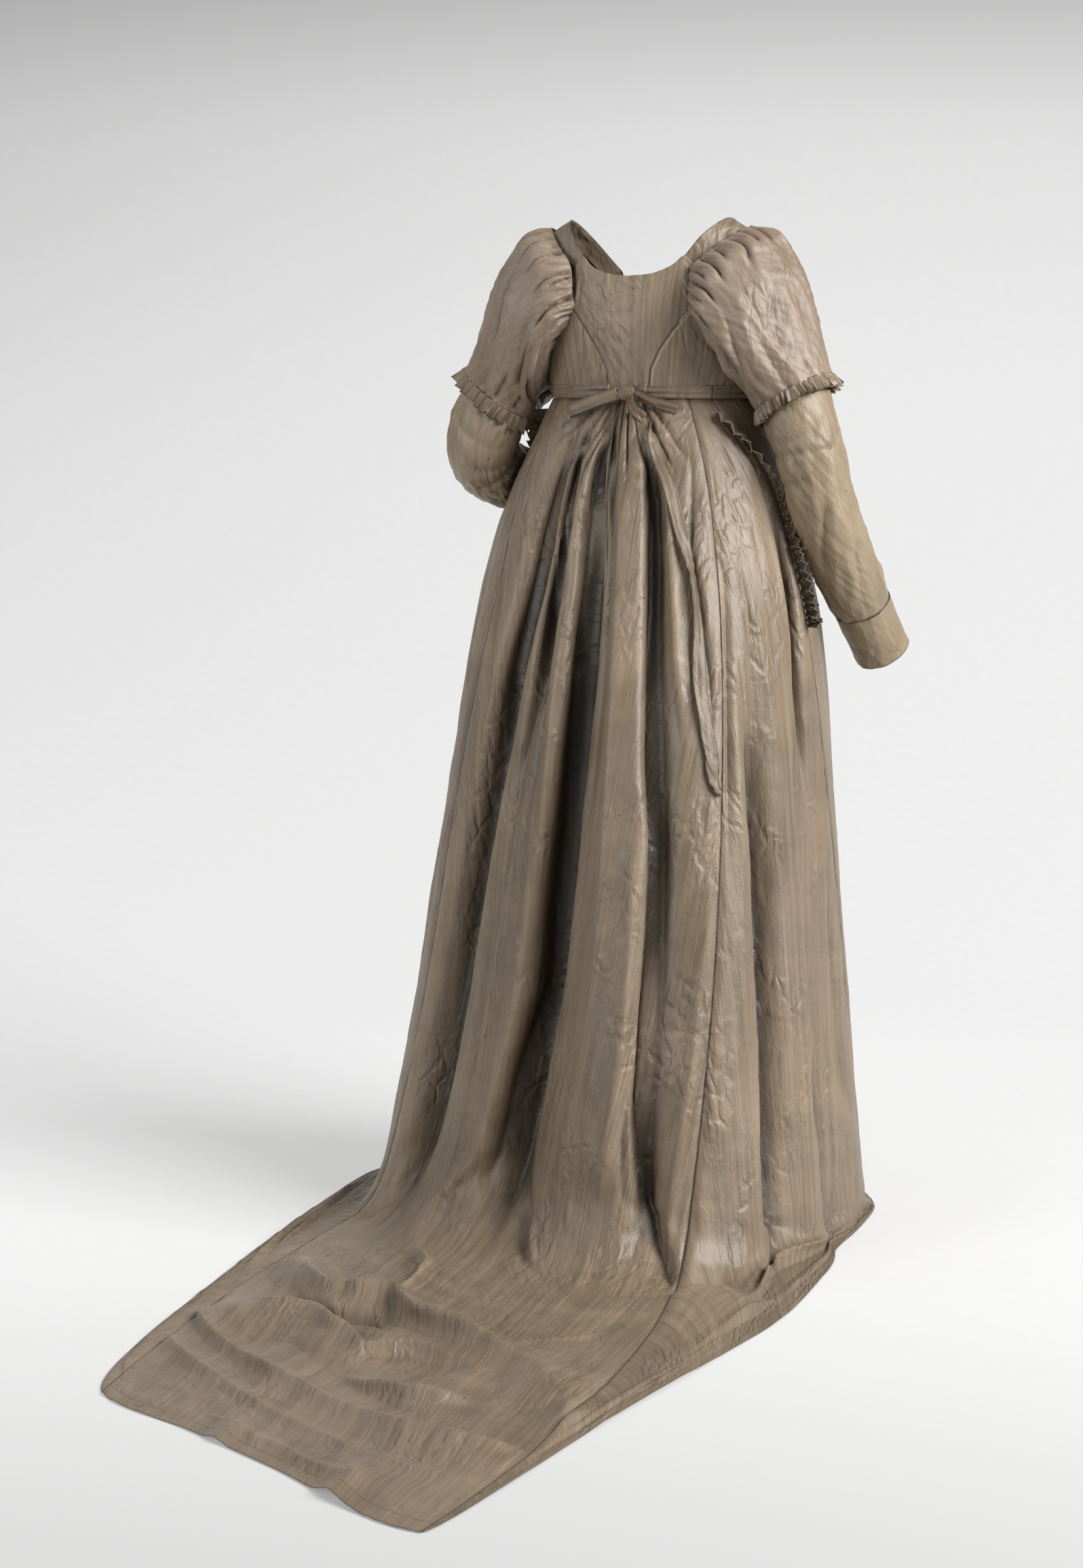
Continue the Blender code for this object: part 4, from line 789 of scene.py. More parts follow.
PANEL_GIRTHS = {
    "skirt_front": np.linspace(4.0, 6.0, 181),
    "skirt_side_left": np.linspace(1.0, 2.0, 81),
    "skirt_back": stretches((2.0, 2.2, 34), (2.2, 2.62, 100), (2.62, 3.0, 64)),
    "skirt_side_right": np.linspace(3.0, 4.0, 111),
}
Panel = namedtuple("Panel", "girths rows points normals across down edge")


def panel_rows(name):
    if name == "skirt_front":
        return stretches((0, 1, 170), (1, 2, 8), (2, 3, 5))
    if name == "skirt_back":
        return stretches((0, 0.3, 50), (0.3, 1, 80), (1, 2, 28), (2, 3, 230))
    return stretches((0, 1, 130), (1, 2, 16), (2, 3, 90))


@functools.cache
def skirt_panel(name):
    """One skirt panel with all its folds, and the metres across and down it."""
    girths, rows = PANEL_GIRTHS[name], panel_rows(name)
    points = skirt_grid(girths, rows)
    normals = outward(points)
    u = way_along(points, 1)
    down = way_along(points, 0).mean(1)[:, None]
    v = np.broadcast_to(down, u.shape)
    edge = np.minimum(u, u[:, -1:] - u)
    metres = u[:, -1:] / (girths[-1] - girths[0])
    per_row = np.maximum(np.gradient(down[:, 0], rows)[:, None], 0.05)
    seed = sorted(PANEL_GIRTHS).index(name) * 100 + 11
    folds = list(SKIRT_FOLDS)
    creases = SKIRT_CREASES[:2] if name == "skirt_front" else SKIRT_CREASES
    for k, (count, span, *sizes, tall) in enumerate(creases):
        folds += scattered(count, (girths[0], girths[-1]), span, seed + k, *sizes, (float(metres.mean()), tall))
    rows = rows[:, None]
    narrow = linear((0.0, 0.04, 0.12, 0.26), (0.40, 0.55, 0.82, 1.0), rows)
    move = fold_heights(girths[None, :], rows, (metres, per_row), folds, narrow)
    most = linear((0.0, 0.05, 0.12, 0.3, 0.8), (0.005, 0.013, 0.020, 0.030, 0.034), rows)
    move = np.where(move < 0, -most * np.tanh(-move / most), move)
    for row, depth in FOLD_MARKS:
        off = (rows - row) * 1.07 + 0.004 * drift(u, down, (0.15, 1.0), seed + 5)
        broken = ease(0.5 + 1.3 * drift(u, down * 0 + row, (0.06, 1.0), seed + 6))
        move = move + depth * np.exp(-(off / 0.004) ** 2) * broken
    # the crushed ground of the cloth, which lies calmer on the floor
    lower, lying = ease((rows - 0.25) / 0.9), ease(rows - 1.6)
    crushed = 0.35 + 0.65 * ease(0.5 + 0.9 * drift(u, v, (0.11, 0.17), seed + 7))
    rough = 0.0034 * facets(u, v, (0.038, 0.080), seed + 8) + 0.0018 * facets(u, v, (0.016, 0.026), seed + 9)
    move = move + rough * crushed * (0.35 + 0.65 * lower) * (1 - 0.6 * lying)
    # lengthwise swells, and on the floor swells across
    move = move + 0.0014 * drift(u, v, (0.030, 0.55), seed + 3) + 0.0005 * drift(u, v, (0.011, 0.35), seed + 4)
    move = move + 0.0045 * lying * drift(u + 0.5 * v, v, (0.26, 0.055), seed + 12)
    # the seams pull the cloth in and pucker it
    seam = ease(edge / 0.010)
    pucker = 0.0005 * (1 - seam) * drift(u * 0, v, (1.0, 0.011), seed + 13)
    points = points + normals * (move * seam + pucker - 0.0010 * np.exp(-(edge / 0.003) ** 2))[..., None]
    lowest = FLOOR + 0.0004 + 0.0012 * lying * (0.5 + 0.5 * drift(u, v, (0.05, 0.05), seed + 14))
    points[..., 2] = np.maximum(points[..., 2], lowest)
    return Panel(girths, rows[:, 0], points, outward(points), u, v, edge)


def on_skirt(girths, heights, lift):
    """Places on the finished skirt at girths and heights of the fall, and the normals there."""
    places, normals = [], []
    for girth, height in zip(girths, heights):
        name = next(n for n, g in PANEL_GIRTHS.items() if g[0] <= girth <= g[-1])
        panel = skirt_panel(name)
        column = np.interp(girth, panel.girths, np.arange(len(panel.girths)))
        left = min(int(column), len(panel.girths) - 2)
        share = column - left
        fall = panel.rows <= 1
        line = panel.points[fall, left] * (1 - share) + panel.points[fall, left + 1] * share
        out = panel.normals[fall, left] * (1 - share) + panel.normals[fall, left + 1] * share
        level = -np.maximum.accumulate(-line[:, 2] - SHOULDER_HEIGHT + WAIST_HEIGHT) + WAIST_HEIGHT
        places.append([np.interp(-height, -level, line[:, k]) for k in range(3)])
        normals.append([np.interp(-height, -level, out[:, k]) for k in range(3)])
    places, normals = np.array(places), unit(np.array(normals))
    return places + normals * np.reshape(lift, (-1, 1)), normals


# ---- shader maths

class Wire:
    """A shader socket that takes part in sums; numbers and other wires are added as Math nodes."""

    def __init__(self, finish, socket):
        self.finish, self.socket = finish, socket

    def _math(self, operation, other):
        return self.finish.node("Math", {"operation": operation}, {0: self, 1: other})

    __add__ = __radd__ = functools.partialmethod(_math, "ADD")
    __mul__ = __rmul__ = functools.partialmethod(_math, "MULTIPLY")
    __sub__ = functools.partialmethod(_math, "SUBTRACT")

    def __rsub__(self, other):
        return self.finish.node("Math", {"operation": "SUBTRACT"}, {0: other, 1: self})


class Finish:
    """A material in the making."""

    def __init__(self, name):
        self.material = bpy.data.materials.new(name)
        self.material.use_nodes = True
        self.tree = self.material.node_tree
        self.tree.nodes.clear()

    def node(self, kind, settings=None, sockets=None, out=0):
        """Adds one node: its settings first, then its sockets' values or links."""
        made = self.tree.nodes.new("ShaderNode" + kind)
        for name, value in (settings or {}).items():
            setattr(made, name, value)
        for name, value in (sockets or {}).items():
            if isinstance(value, Wire):
                self.tree.links.new(value.socket, made.inputs[name])
            else:
                made.inputs[name].default_value = value
        return Wire(self, made.outputs[out]) if made.outputs else None

    def mixed(self, share, first, second):
        """A colour between two colours."""
        first, second = ((*c, 1.0) if isinstance(c, tuple) else c for c in (first, second))
        return self.node("Mix", {"data_type": "RGBA"}, {0: share, 6: first, 7: second}, 2)

    def vector(self, operation, first, second, out=0):
        return self.node("VectorMath", {"operation": operation}, {0: first, 1: second}, out)

    def part(self, vector, index):
        return self.node("SeparateXYZ", {}, {0: vector}, index)

    def noise(self, vector, across, down, detail=2.0, roughness=0.5, distortion=0.0, out=0):
        """Noise over a plane; across and down are how many swells it has to the metre."""
        return self.node("TexNoise", {"noise_dimensions": "2D"}, {
            "Vector": self.vector("MULTIPLY", vector, (across, down, 1.0)), "Scale": 1.0, "Detail": detail,
            "Roughness": roughness, "Distortion": distortion}, out)

    def cells(self, vector, feature):
        return self.node("TexVoronoi", {"feature": feature, "voronoi_dimensions": "2D"},
                         {"Vector": vector, "Scale": 1.0})

    def band(self, value, low, high):
        """0 below low, 1 above high and smooth between."""
        return self.node("MapRange", {"interpolation_type": "SMOOTHSTEP"},
                         {0: value, 1: low, 2: high, 3: 0.0, 4: 1.0})

    def line(self, value, near, far):
        """1 where the value is within near of 0, 0 beyond far and smooth between."""
        return 1.0 - self.band(value, near, far)

    def stitches(self, along, every, start, end):
        """Dashes that repeat along a line."""
        return self.band(self.node("Math", {"operation": "PINGPONG"}, {0: along, 1: every}), start, end)

    def away(self, value, middle):
        return self.node("Math", {"operation": "ABSOLUTE"}, {0: value - middle})

    def done(self, shader):
        self.node("OutputMaterial", {}, {"Surface": shader})
        return self.material


# sRGB tones from 0 to 255
SOILED, SPOT, STITCH, TOP_STITCH = (84, 71, 54), (42, 34, 26), (72, 60, 46), (176, 160, 136)
# the last tone is painted shade for the folds' hollows
SEAM, HEM_EDGE, HOLLOW_SHADE = (46, 37, 28), (70, 58, 44), (34, 24, 14)


def linear_light(colour):
    """Linear light for an sRGB colour given as 0 to 255."""
    return tuple((c / 255 / 12.92) if c <= 10 else ((c / 255 + 0.055) / 1.055) ** 2.4 for c in colour)


def brighter(colour, by):
    return tuple(min(255, c * by) for c in colour)


def silk(name, light, dark, tint=(126, 110, 98), tint_share=0.25, stitch=None, bars=1.0, worn=1.0, sheen=0.06,
         grain=1.0, seam_stitch=0.0):
    """Plain woven silk: lengthwise streaks, faint bars across, worn patches, small creases and stitched edges, with
    painted shade in the hollows and a painted highlight on the ridges.
    Stitch is the hem stitches' distance from the hem and their length, seam_stitch the top-stitch's inset."""
    f = Finish(name)
    uv, edges, relief_shade = (f.node("UVMap", {"uv_map": layer}) for layer in ("cloth", "edges", "relief"))
    from_side, from_hem = f.part(edges, 0), f.part(edges, 1)
    fine = f.noise(uv, 480.0, 9.0, 3.0, 0.65)
    middling = f.noise(uv, 170.0, 2.6, 3.0, 0.55, 0.3)
    broad = f.noise(uv, 60.0, 0.9, 2.0, 0.5, 0.6)
    weft = f.noise(uv, 3.0, 320.0)
    bar = f.noise(uv, 1.3, 26.0, 2.0, 0.5, 0.5)
    patch = f.noise(uv, 7.0, 5.0, 4.0, 0.6, 0.8)
    streaks = fine * (0.46 * grain) + middling * (0.28 * grain) + broad * (0.26 * grain) + 0.5 * (1 - grain)
    shade = streaks + (weft - 0.5) * 0.06 + (bar - 0.5) * (0.22 * bars) + (patch - 0.5) * (0.52 * worn)
    warp = f.noise(uv, 40.0, 24.0, 3.0, out=1)
    ridge = f.cells(f.vector("ADD", f.vector("MULTIPLY", uv, (52.0, 30.0, 1.0)), warp), "DISTANCE_TO_EDGE")
    where = f.band(f.noise(uv, 11.0, 8.0, 2.0, 0.5, 0.4), 0.45, 0.62)
    height = fine * 0.10 + middling * 0.16 + weft * 0.06 + f.band(ridge, 0.0, 0.30) * where
    height = height + f.noise(uv, 34.0, 16.0, 3.0, 0.6, 0.6) * 0.9 + f.noise(uv, 150.0, 60.0, 3.0, 0.7, 0.8) * 0.5
    spot = f.cells(f.vector("MULTIPLY", uv, (9.0, 9.0, 1.0)), "F1")
    # what lies over the two tones of the weave: each layer's share and its sRGB tone; the last two layers are painted
    # shade and painted highlight
    layers = [
        (f.band(f.noise(uv, 4.0, 2.4, 3.0, 0.6, 1.0), 0.44, 0.66) * tint_share, tint),
        (f.band(f.noise(uv, 5.0, 2.2, 4.0, 0.6, 0.5), 0.50, 0.72) * 0.30, SOILED),
        (f.band(f.noise(uv, 420.0, 3.0, 1.0), 0.70, 0.80) * 0.35, brighter(light, 1.22)),
        (f.line(spot, 0.006, 0.014) * 0.75, SPOT),
    ]
    if stitch:
        inset, every = stitch
        line = f.line(f.away(from_hem, inset), 0.0006, 0.0016)
        dash = f.stitches(f.part(uv, 0), every, every * 0.30, every * 0.55)
        layers.append((line * dash * 0.55, STITCH))
        height = height - line * 0.5
    if seam_stitch:
        line = f.line(f.away(from_side, seam_stitch), 0.0004, 0.0012)
        dash = f.stitches(f.part(uv, 1), 0.0016, 0.0004, 0.0009)
        layers.append((line * (dash * 0.75 + 0.10), TOP_STITCH))
    layers += [
        (f.line(from_side, 0.0006, 0.0022) * 0.65, SEAM),
        (f.line(from_hem, 0.0008, 0.0028) * 0.35, HEM_EDGE),
        # painted shade in the folds' hollows and painted highlight on their ridges, from the cloth's relief
        (f.band(f.part(relief_shade, 0), 0.05, 1.0) * 0.88, HOLLOW_SHADE),
        (f.band(f.part(relief_shade, 1), 0.1, 1.0) * 0.28, brighter(light, 1.2)),
    ]
    colour = f.mixed(f.band(shade, 0.18, 0.82), linear_light(dark), linear_light(light))
    for share, tone in layers:
        colour = f.mixed(share, colour, linear_light(tone))
    bump = f.node("Bump", {}, {"Strength": 0.80, "Distance": 0.0017, "Height": height})
    return f.done(f.node("BsdfPrincipled", {}, {
        "Base Color": colour, "Roughness": f.band(streaks, 0.3, 0.75) * 0.12 + 0.42, "Normal": bump,
        "Specular IOR Level": 0.50, "Sheen Weight": sheen, "Sheen Roughness": 0.35,
        "Sheen Tint": (0.95, 0.88, 0.80, 1.0)}))


def thread_finish(name, colour):
    f = Finish(name)
    where = f.node("TexCoord", {}, {}, 3)
    twist = f.node("TexWave", {"wave_type": "BANDS", "bands_direction": "DIAGONAL"},
                   {"Vector": where, "Scale": 900.0, "Distortion": 0.6})
    tone = f.mixed(twist, tuple(c * 0.62 for c in linear_light(colour)), linear_light(colour))
    bump = f.node("Bump", {}, {"Strength": 0.6, "Distance": 0.0002, "Height": twist})
    return f.done(f.node("BsdfPrincipled", {}, {"Base Color": tone, "Roughness": 0.75, "Normal": bump}))


# Each silk's name, what its light and dark streaks add to the gown's own, and how it is woven and worn.
SILKS = {
    "skirt": ("skirt silk", (0, 0, 0), (0, 0, 0), {"stitch": (0.025, 0.0022), "bars": 0.75, "grain": 1.15}),
    "bodice": ("bodice silk", (8, 7, 6), (10, 9, 8), {"bars": 0.5, "worn": 1.3, "grain": 1.5}),
    "topstitched": ("top-stitched bodice silk", (8, 7, 6), (10, 9, 8),
                    {"bars": 0.5, "worn": 1.3, "grain": 1.5, "seam_stitch": 0.0036}),
    "oversleeve": ("oversleeve silk", (6, 4, 6), (8, 6, 6),
                   {"tint": (138, 125, 112), "tint_share": 0.3, "bars": 0.5, "sheen": 0.2, "grain": 0.55}),
    "undersleeve": ("undersleeve silk", (16, 15, 11), (17, 16, 12),
                    {"tint": (136, 123, 104), "bars": 0.6, "grain": 0.55}),
    "frill": ("frill silk", (6, 6, 4), (4, 4, 3), {"tint_share": 0.15, "bars": 0.2}),
    "tape": ("tape silk", (-12, -12, -12), (-4, -4, -4), {"tint_share": 0.2, "bars": 0.2}),
}


@functools.cache
def finish_for(kind):
    """The gown's finishes, each made once."""
    if kind == "faded":
        return silk("faded inside of the tape", (124, 100, 74), (86, 67, 49), tint=(112, 88, 64), bars=0.2)
    if kind == "thread":
        return thread_finish("pale yellow thread", (206, 180, 112))
    look = bpy.context.scene.gown_silk
    name, *moves, woven = SILKS[kind]
    tones = [tuple(min(255, max(0, 255 * c + b)) for c, b in zip(tone, move))
             for tone, move in zip((look.light, look.dark), moves)]
    return silk(name, *tones, **woven)


# ---- pieces

# Shares of its reach by which the cloth is sunk or raised where its painted hollow shade or painted ridge highlight
# is full.
HOLLOW_SHADE_FULL, RIDGE_HIGHLIGHT_FULL = 0.32, 0.30


def cloth(name, grid, kind, node=None, uv=None, edges=None, closed=False, thick=CLOTH, inside=None,
          reach=0.02, deep=1.0):
    """A sheet through a grid of points, seen from outside with its columns running to the right."""
    rows, columns = grid.shape[:2]
    stands = relief(grid, outward(grid), reach, closed)
    if closed:
        grid, stands = (np.concatenate([part, part[:, :1]], axis=1) for part in (grid, stands))
    # shares of painted shade in the hollows and painted highlight on the ridges, from how far the cloth sinks below
    # or stands above its neighbours; a larger deep weakens the shade
    stands = np.stack([np.clip(-stands / (HOLLOW_SHADE_FULL * reach * deep), 0, 1),
                       np.clip(stands / (RIDGE_HIGHLIGHT_FULL * reach), 0, 1)], -1)
    if uv is None:
        uv = np.stack([way_along(grid, 1), way_along(grid, 0)], -1)
    if edges is None:
        down = uv[..., 1]
        edges = np.stack([np.full(down.shape, 1.0), down[-1:] - down], -1)
    index = np.arange(grid.shape[0] * grid.shape[1]).reshape(grid.shape[:2])
    corners = np.stack([index[:-1, :-1], index[1:, :-1], index[1:, 1:], index[:-1, 1:]], -1).reshape(-1, 4)
    vertex = np.arange(rows * columns).reshape(rows, columns)
    if closed:
        vertex = np.concatenate([vertex, vertex[:, :1]], axis=1)
    mesh = bpy.data.meshes.new(name)
    mesh.from_pydata(grid[:, :columns].reshape(-1, 3).tolist(), [], vertex.reshape(-1)[corners].tolist())
    for layer_name, values in (("cloth", uv), ("edges", edges), ("relief", stands)):
        layer = mesh.uv_layers.new(name=layer_name)
        layer.data.foreach_set("uv", np.asarray(values, np.float32).reshape(-1, 2)[corners.reshape(-1)].reshape(-1))
    mesh.shade_smooth()
    piece = bpy.data.objects.new(f"{name}_cloth", mesh)
    bpy.context.scene.collection.objects.link(piece)
    mesh.materials.append(finish_for(kind))
    shell = piece.modifiers.new("cloth thickness", "SOLIDIFY")
    shell.thickness, shell.offset, shell.use_rim_only = thick, 1.0, True
    if inside:
        mesh.materials.append(finish_for(inside))
        shell.use_rim_only, shell.material_offset, shell.offset = False, 1, -1.0
    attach(piece, "root")
    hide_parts(*([node or name] if isinstance(node or name, str) else node))
    return piece


def closed_normals(points):
    """Outward unit normals of rings given in (right, back, height)."""
    wrapped = np.concatenate([points[:, -2:], points, points[:, :2]], axis=1)
    normal = unit(np.cross(np.gradient(wrapped, axis=0), np.gradient(wrapped, axis=1)))[:, 2:-2]
    out = points - points.mean(1, keepdims=True)
    return normal * np.sign(np.sum(normal * out, axis=-1, keepdims=True))


SLEEVE_COLUMNS = {"oversleeve": 320, "undersleeve": 180}
# The oversleeve's folds, their paths as (clock, percent of its length): gathers from the armhole, then the long
# soft folds.
OVERSLEEVE_FOLDS = (
    *fold_table(
        "start",
        (-5, 2.1, 1.3, (4, -2), (8, 7), (14, 20)),
        (-6, 2, 1.2, (17, -2), (19, 8), (24, 17)),
        (-5.5, 2.4, 1.5, (28, -2), (31, 10), (40, 30)),
        (-5, 1.8, 1, (39, -2), (42, 7), (47, 16)),
        (-6.5, 2.3, 1.4, (49, -2), (52, 9), (58, 26)),
        (-6, 2, 1.1, (60, -2), (63, 8), (67, 15)),
        (-6.8, 2.4, 1.4, (71, -2), (73, 10), (77, 28)),
        (-5.2, 2, 1, (82, -2), (84, 8), (86, 17)),
        (-5.8, 2.6, 1.3, (93, -2), (96, 12), (102, 34)),
        (-4, 2.4, 1.2, (108, -2), (111, 8), (117, 20)),
        (-3.5, 3, 1.2, (124, -2), (128, 10), (136, 26)),
        (-5.2, 2.2, 0.8, (352, -2), (350, 9), (344, 24)),
        (-4.6, 2, 1, (340, -2), (338, 7), (334, 16)),
        (-5.5, 2.4, 0.8, (327, -2), (324, 10), (317, 30)),
        (-4.8, 2, 1, (314, -2), (311, 8), (307, 16)),
        (-5.6, 2.4, 0.8, (301, -2), (298, 10), (292, 26)),
        (-4.6, 2, 1, (288, -2), (286, 7), (283, 15)),
        (-5, 2.5, 0.8, (275, -2), (272, 11), (266, 28)),
        (-3.5, 2.5, 1, (258, -2), (255, 8), (250, 20))),
    # long soft folds on the back and round the arm
    *fold_table(
        "",
        (-4, 8.5, 1.5, (22, 18), (34, 42), (52, 72), (60, 96)),
        (3.4, 9, 1.2, (48, 24), (66, 46), (84, 70), (96, 94)),
        (-4.8, 7.5, 1.4, (70, 22), (84, 42), (104, 62), (128, 78)),
        (-5.6, 6.5, 1.5, (100, 30), (116, 50), (132, 66), (148, 80)),
        (4, 7, 1, (112, 26), (126, 42), (142, 56)),
        (-6, 6, 1.2, (132, 48), (142, 62), (158, 72), (176, 78)),
        (-3.4, 6.5, 1.3, (88, 55), (96, 74), (100, 96))),
    *fold_table(
        "end",
        (-2.6, 5.5, 1, (68, 62), (72, 80), (74, 99)),
        (-3.6, 5.5, 1, (112, 68), (116, 84), (117, 99)),
        (-3.6, 5, 1, (134, 74), (136, 88), (136, 99)),
        (-2.2, 5.5, 1, (36, 70), (38, 86), (38, 99))),
    *fold_table(
        "",
        (-2.6, 10, 1.3, (10, 40), (16, 62), (18, 86)),
        (-3.6, 8.5, 0.8, (338, 30), (328, 55), (320, 84)),
        (-4.4, 8, 0.8, (300, 26), (286, 50), (268, 74)),
        (-5, 7, 1, (256, 34), (240, 52), (222, 70)),
        (-5, 6, 1.2, (206, 42), (194, 58), (182, 72))),
    *fold_table(
        "end",
        (-2.8, 6, 1, (312, 66), (310, 84), (309, 99)),
        (-3.2, 5.5, 1, (274, 68), (270, 84), (269, 99)),
        (-3.2, 5.5, 1, (228, 70), (226, 86), (226, 99))),
)
UNDERSLEEVE_FOLDS = {
    "right": fold_table(
        "",
        (-3, 6.5, 1.3, (20, 10), (60, 16), (110, 17), (160, 14)),
        (-2.4, 5.5, 1, (350, 16), (30, 22), (80, 25), (130, 24)),
        (-3.4, 7, 1.4, (60, 26), (110, 30), (170, 30), (210, 27)),
        (-3, 8, 1.3, (30, 32), (70, 40), (100, 52), (120, 66)),
        (2.4, 8.5, 1, (80, 36), (120, 46), (150, 58), (165, 72)),
        (-2.6, 7.5, 1.2, (10, 44), (40, 56), (60, 70), (70, 84)),
        (-2.2, 5, 1, (130, 62), (120, 72), (95, 80), (60, 84)),
        (-2.6, 4.5, 1.2, (150, 74), (130, 80), (100, 84)),
        (-1.8, 4.5, 1, (20, 88), (50, 92), (90, 93), (130, 90)),
        (-3, 7, 1.2, (210, 20), (250, 28), (290, 30)),
        (-2.6, 7.5, 1, (230, 44), (270, 54), (310, 60)),
        (-2.4, 6.5, 1.2, (220, 68), (260, 76), (300, 80))),
    "left": fold_table(
        "",
        (-3.4, 7, 1.3, (20, 12), (70, 20), (120, 24), (170, 24)),
        (-4, 6.5, 1.2, (30, 26), (80, 31), (130, 33), (190, 32)),
        (-3.4, 6, 1, (350, 34), (40, 40), (90, 42), (150, 40)),
        (-3, 6, 1.3, (60, 44), (110, 48), (160, 47)),
        (-2.8, 7.5, 1.2, (10, 50), (50, 58), (90, 66), (110, 76)),
        (-2.4, 6, 1, (70, 60), (120, 66), (170, 70)),
        (-4, 6.5, 1.2, (200, 28), (240, 34), (290, 36)),
        (-3.6, 6, 1, (190, 42), (230, 46), (280, 46)),
        (-2.6, 7, 1, (220, 58), (260, 66), (300, 72))),
}


def creased_rings(points, clock, along, folds, seed, crush):
    """What folds and a crushed surface add to a sleeve's rings, with their metres round and down."""
    around = way_along(np.concatenate([points, points[:, :1]], 1), 1)[:, :-1]
    down = way_along(points, 0).mean(1)[:, None] * np.ones(points.shape[:2])
    metres = np.linalg.norm(np.roll(points, -1, 1) - points, axis=-1).sum(1)[:, None] / 360 * np.ones(down.shape)
    per_row = np.gradient(down[:, 0], along)[:, None] * np.ones_like(metres)
    turned = [fold._replace(path=tuple((x + 360 * k, y) for x, y in fold.path))
              for fold in folds for k in (-1, 0, 1)]
    turned = [fold._replace(depth=fold.depth * (1.5 if y < 0.05 or x % 360 > 95 else 1.1))
              for fold in turned for x, y in fold.path[:1]]
    small = scattered(60, (0, 360), (along[0] + 0.04, along[-1]), seed, (0.015, 0.055), (0.0022, 0.0045),
                      (0.0003, 0.0010), (-70, 70), (float(metres.mean()), float(per_row.mean())))
    move = fold_heights(clock[None, :], along[:, None], (metres, per_row), turned + small)
    circle = np.radians(clock)[None, :]
    # noise on a cylinder, so that it meets itself where the ring closes
    u, w = (around[:, -1:] / 6.283 * turn(circle) for turn in (np.cos, np.sin))
    bumps = 0.0036 * facets(u * 2 + 0.4 * down, w * 2 + down, (0.034, 0.048), seed + 1)
    bumps = bumps + 0.0018 * facets(u * 2 - down, w * 2 + 0.5 * down, (0.015, 0.019), seed + 2)
    soft = 0.0016 * drift(u * 2 + 0.3 * down, w * 2 + 0.6 * down, (0.040, 0.060), seed + 3)
    return move + (bumps - 0.0016) * crush + soft, around, down


def sleeve_piece(name, side, rings, kind, node, around, down, hem_edge=True):
    grid = sleeve_frame(rings, side)
    if side == "right":
        around, down = around[:, ::-1], down[:, ::-1]
    around = np.concatenate([around, around[:, -1:] + (around[:, -1:] - around[:, -2:-1])], 1)
    down = np.concatenate([down, down[:, :1]], 1)
    from_end = down[-1:] - down if hem_edge else np.full(down.shape, 1.0)
    from_top = np.minimum(down - down[:1] + 0.0004, 1.0)
    return cloth(name, grid, kind, node, np.stack([around, down], -1),
                 np.stack([from_top, from_end], -1), closed=True)


def oversleeve_rings(side):
    clock = np.linspace(0, 360, SLEEVE_COLUMNS["oversleeve"] + 1)[:-1]
    along = stretches((0, 0.2, 34), (0.2, 1, 60))
    points = oversleeve_points(side, clock, along)
    folds = list(OVERSLEEVE_FOLDS)
    if side == "left":
        folds = [fold._replace(depth=fold.depth * (1.1 + 0.3 * math.sin(5 * n)),
                               path=tuple((x * 0.97 + 8 * math.sin(0.6 + 9 * n), y * (1.0 if y < 0.1 else 0.94))
                                          for x, y in fold.path)) for n, fold in enumerate(folds)]
    seed = 700 if side == "right" else 800
    rng = np.random.default_rng(seed + 9)
    for k in range(46):      # the armhole's fine gathers
        at = 246 + (k + rng.uniform(-0.4, 0.4)) * 5.6
        long, turn = rng.uniform(0.05, 0.17), rng.uniform(-5, 5)
        folds.append(Fold(((at, -0.03), (at + turn * 0.4, long * 0.5), (at + turn, long)),
                          -rng.uniform(0.0012, 0.0034), rng.uniform(0.0014, 0.0024), rng.uniform(0.7, 1.5), "start"))
    move, around, down = creased_rings(points, clock, along, folds, seed, 1.0)
    strength = ease(np.minimum(along / 0.03, (1 - along) / 0.02))[:, None]
    puff = 0.0030 * np.exp(-((along[:, None] - 0.10) / 0.07) ** 2) * (1 + np.cos(np.radians(clock - 40)))[None] * 0.5
    points = points + closed_normals(points) * (move * (0.25 + 0.75 * strength) + puff)[..., None]
    under = ease((45 - np.abs(clock - 125)) / 25)[None, :] * ease((0.09 - along) / 0.08)[:, None]
    return points - 0.010 * under[..., None] * unit(points - ARMHOLE_HEART), around, down


def undersleeve_rings(side, first, last, count, seed):
    clock = np.linspace(0, 360, SLEEVE_COLUMNS["undersleeve"] + 1)[:-1]
    along = np.linspace(first, last, count)
    points = undersleeve_points(side, clock, along)
    crush = 1.3 if side == "left" else 0.9
    return along, points, *creased_rings(points, clock, along, UNDERSLEEVE_FOLDS[side], seed, crush)


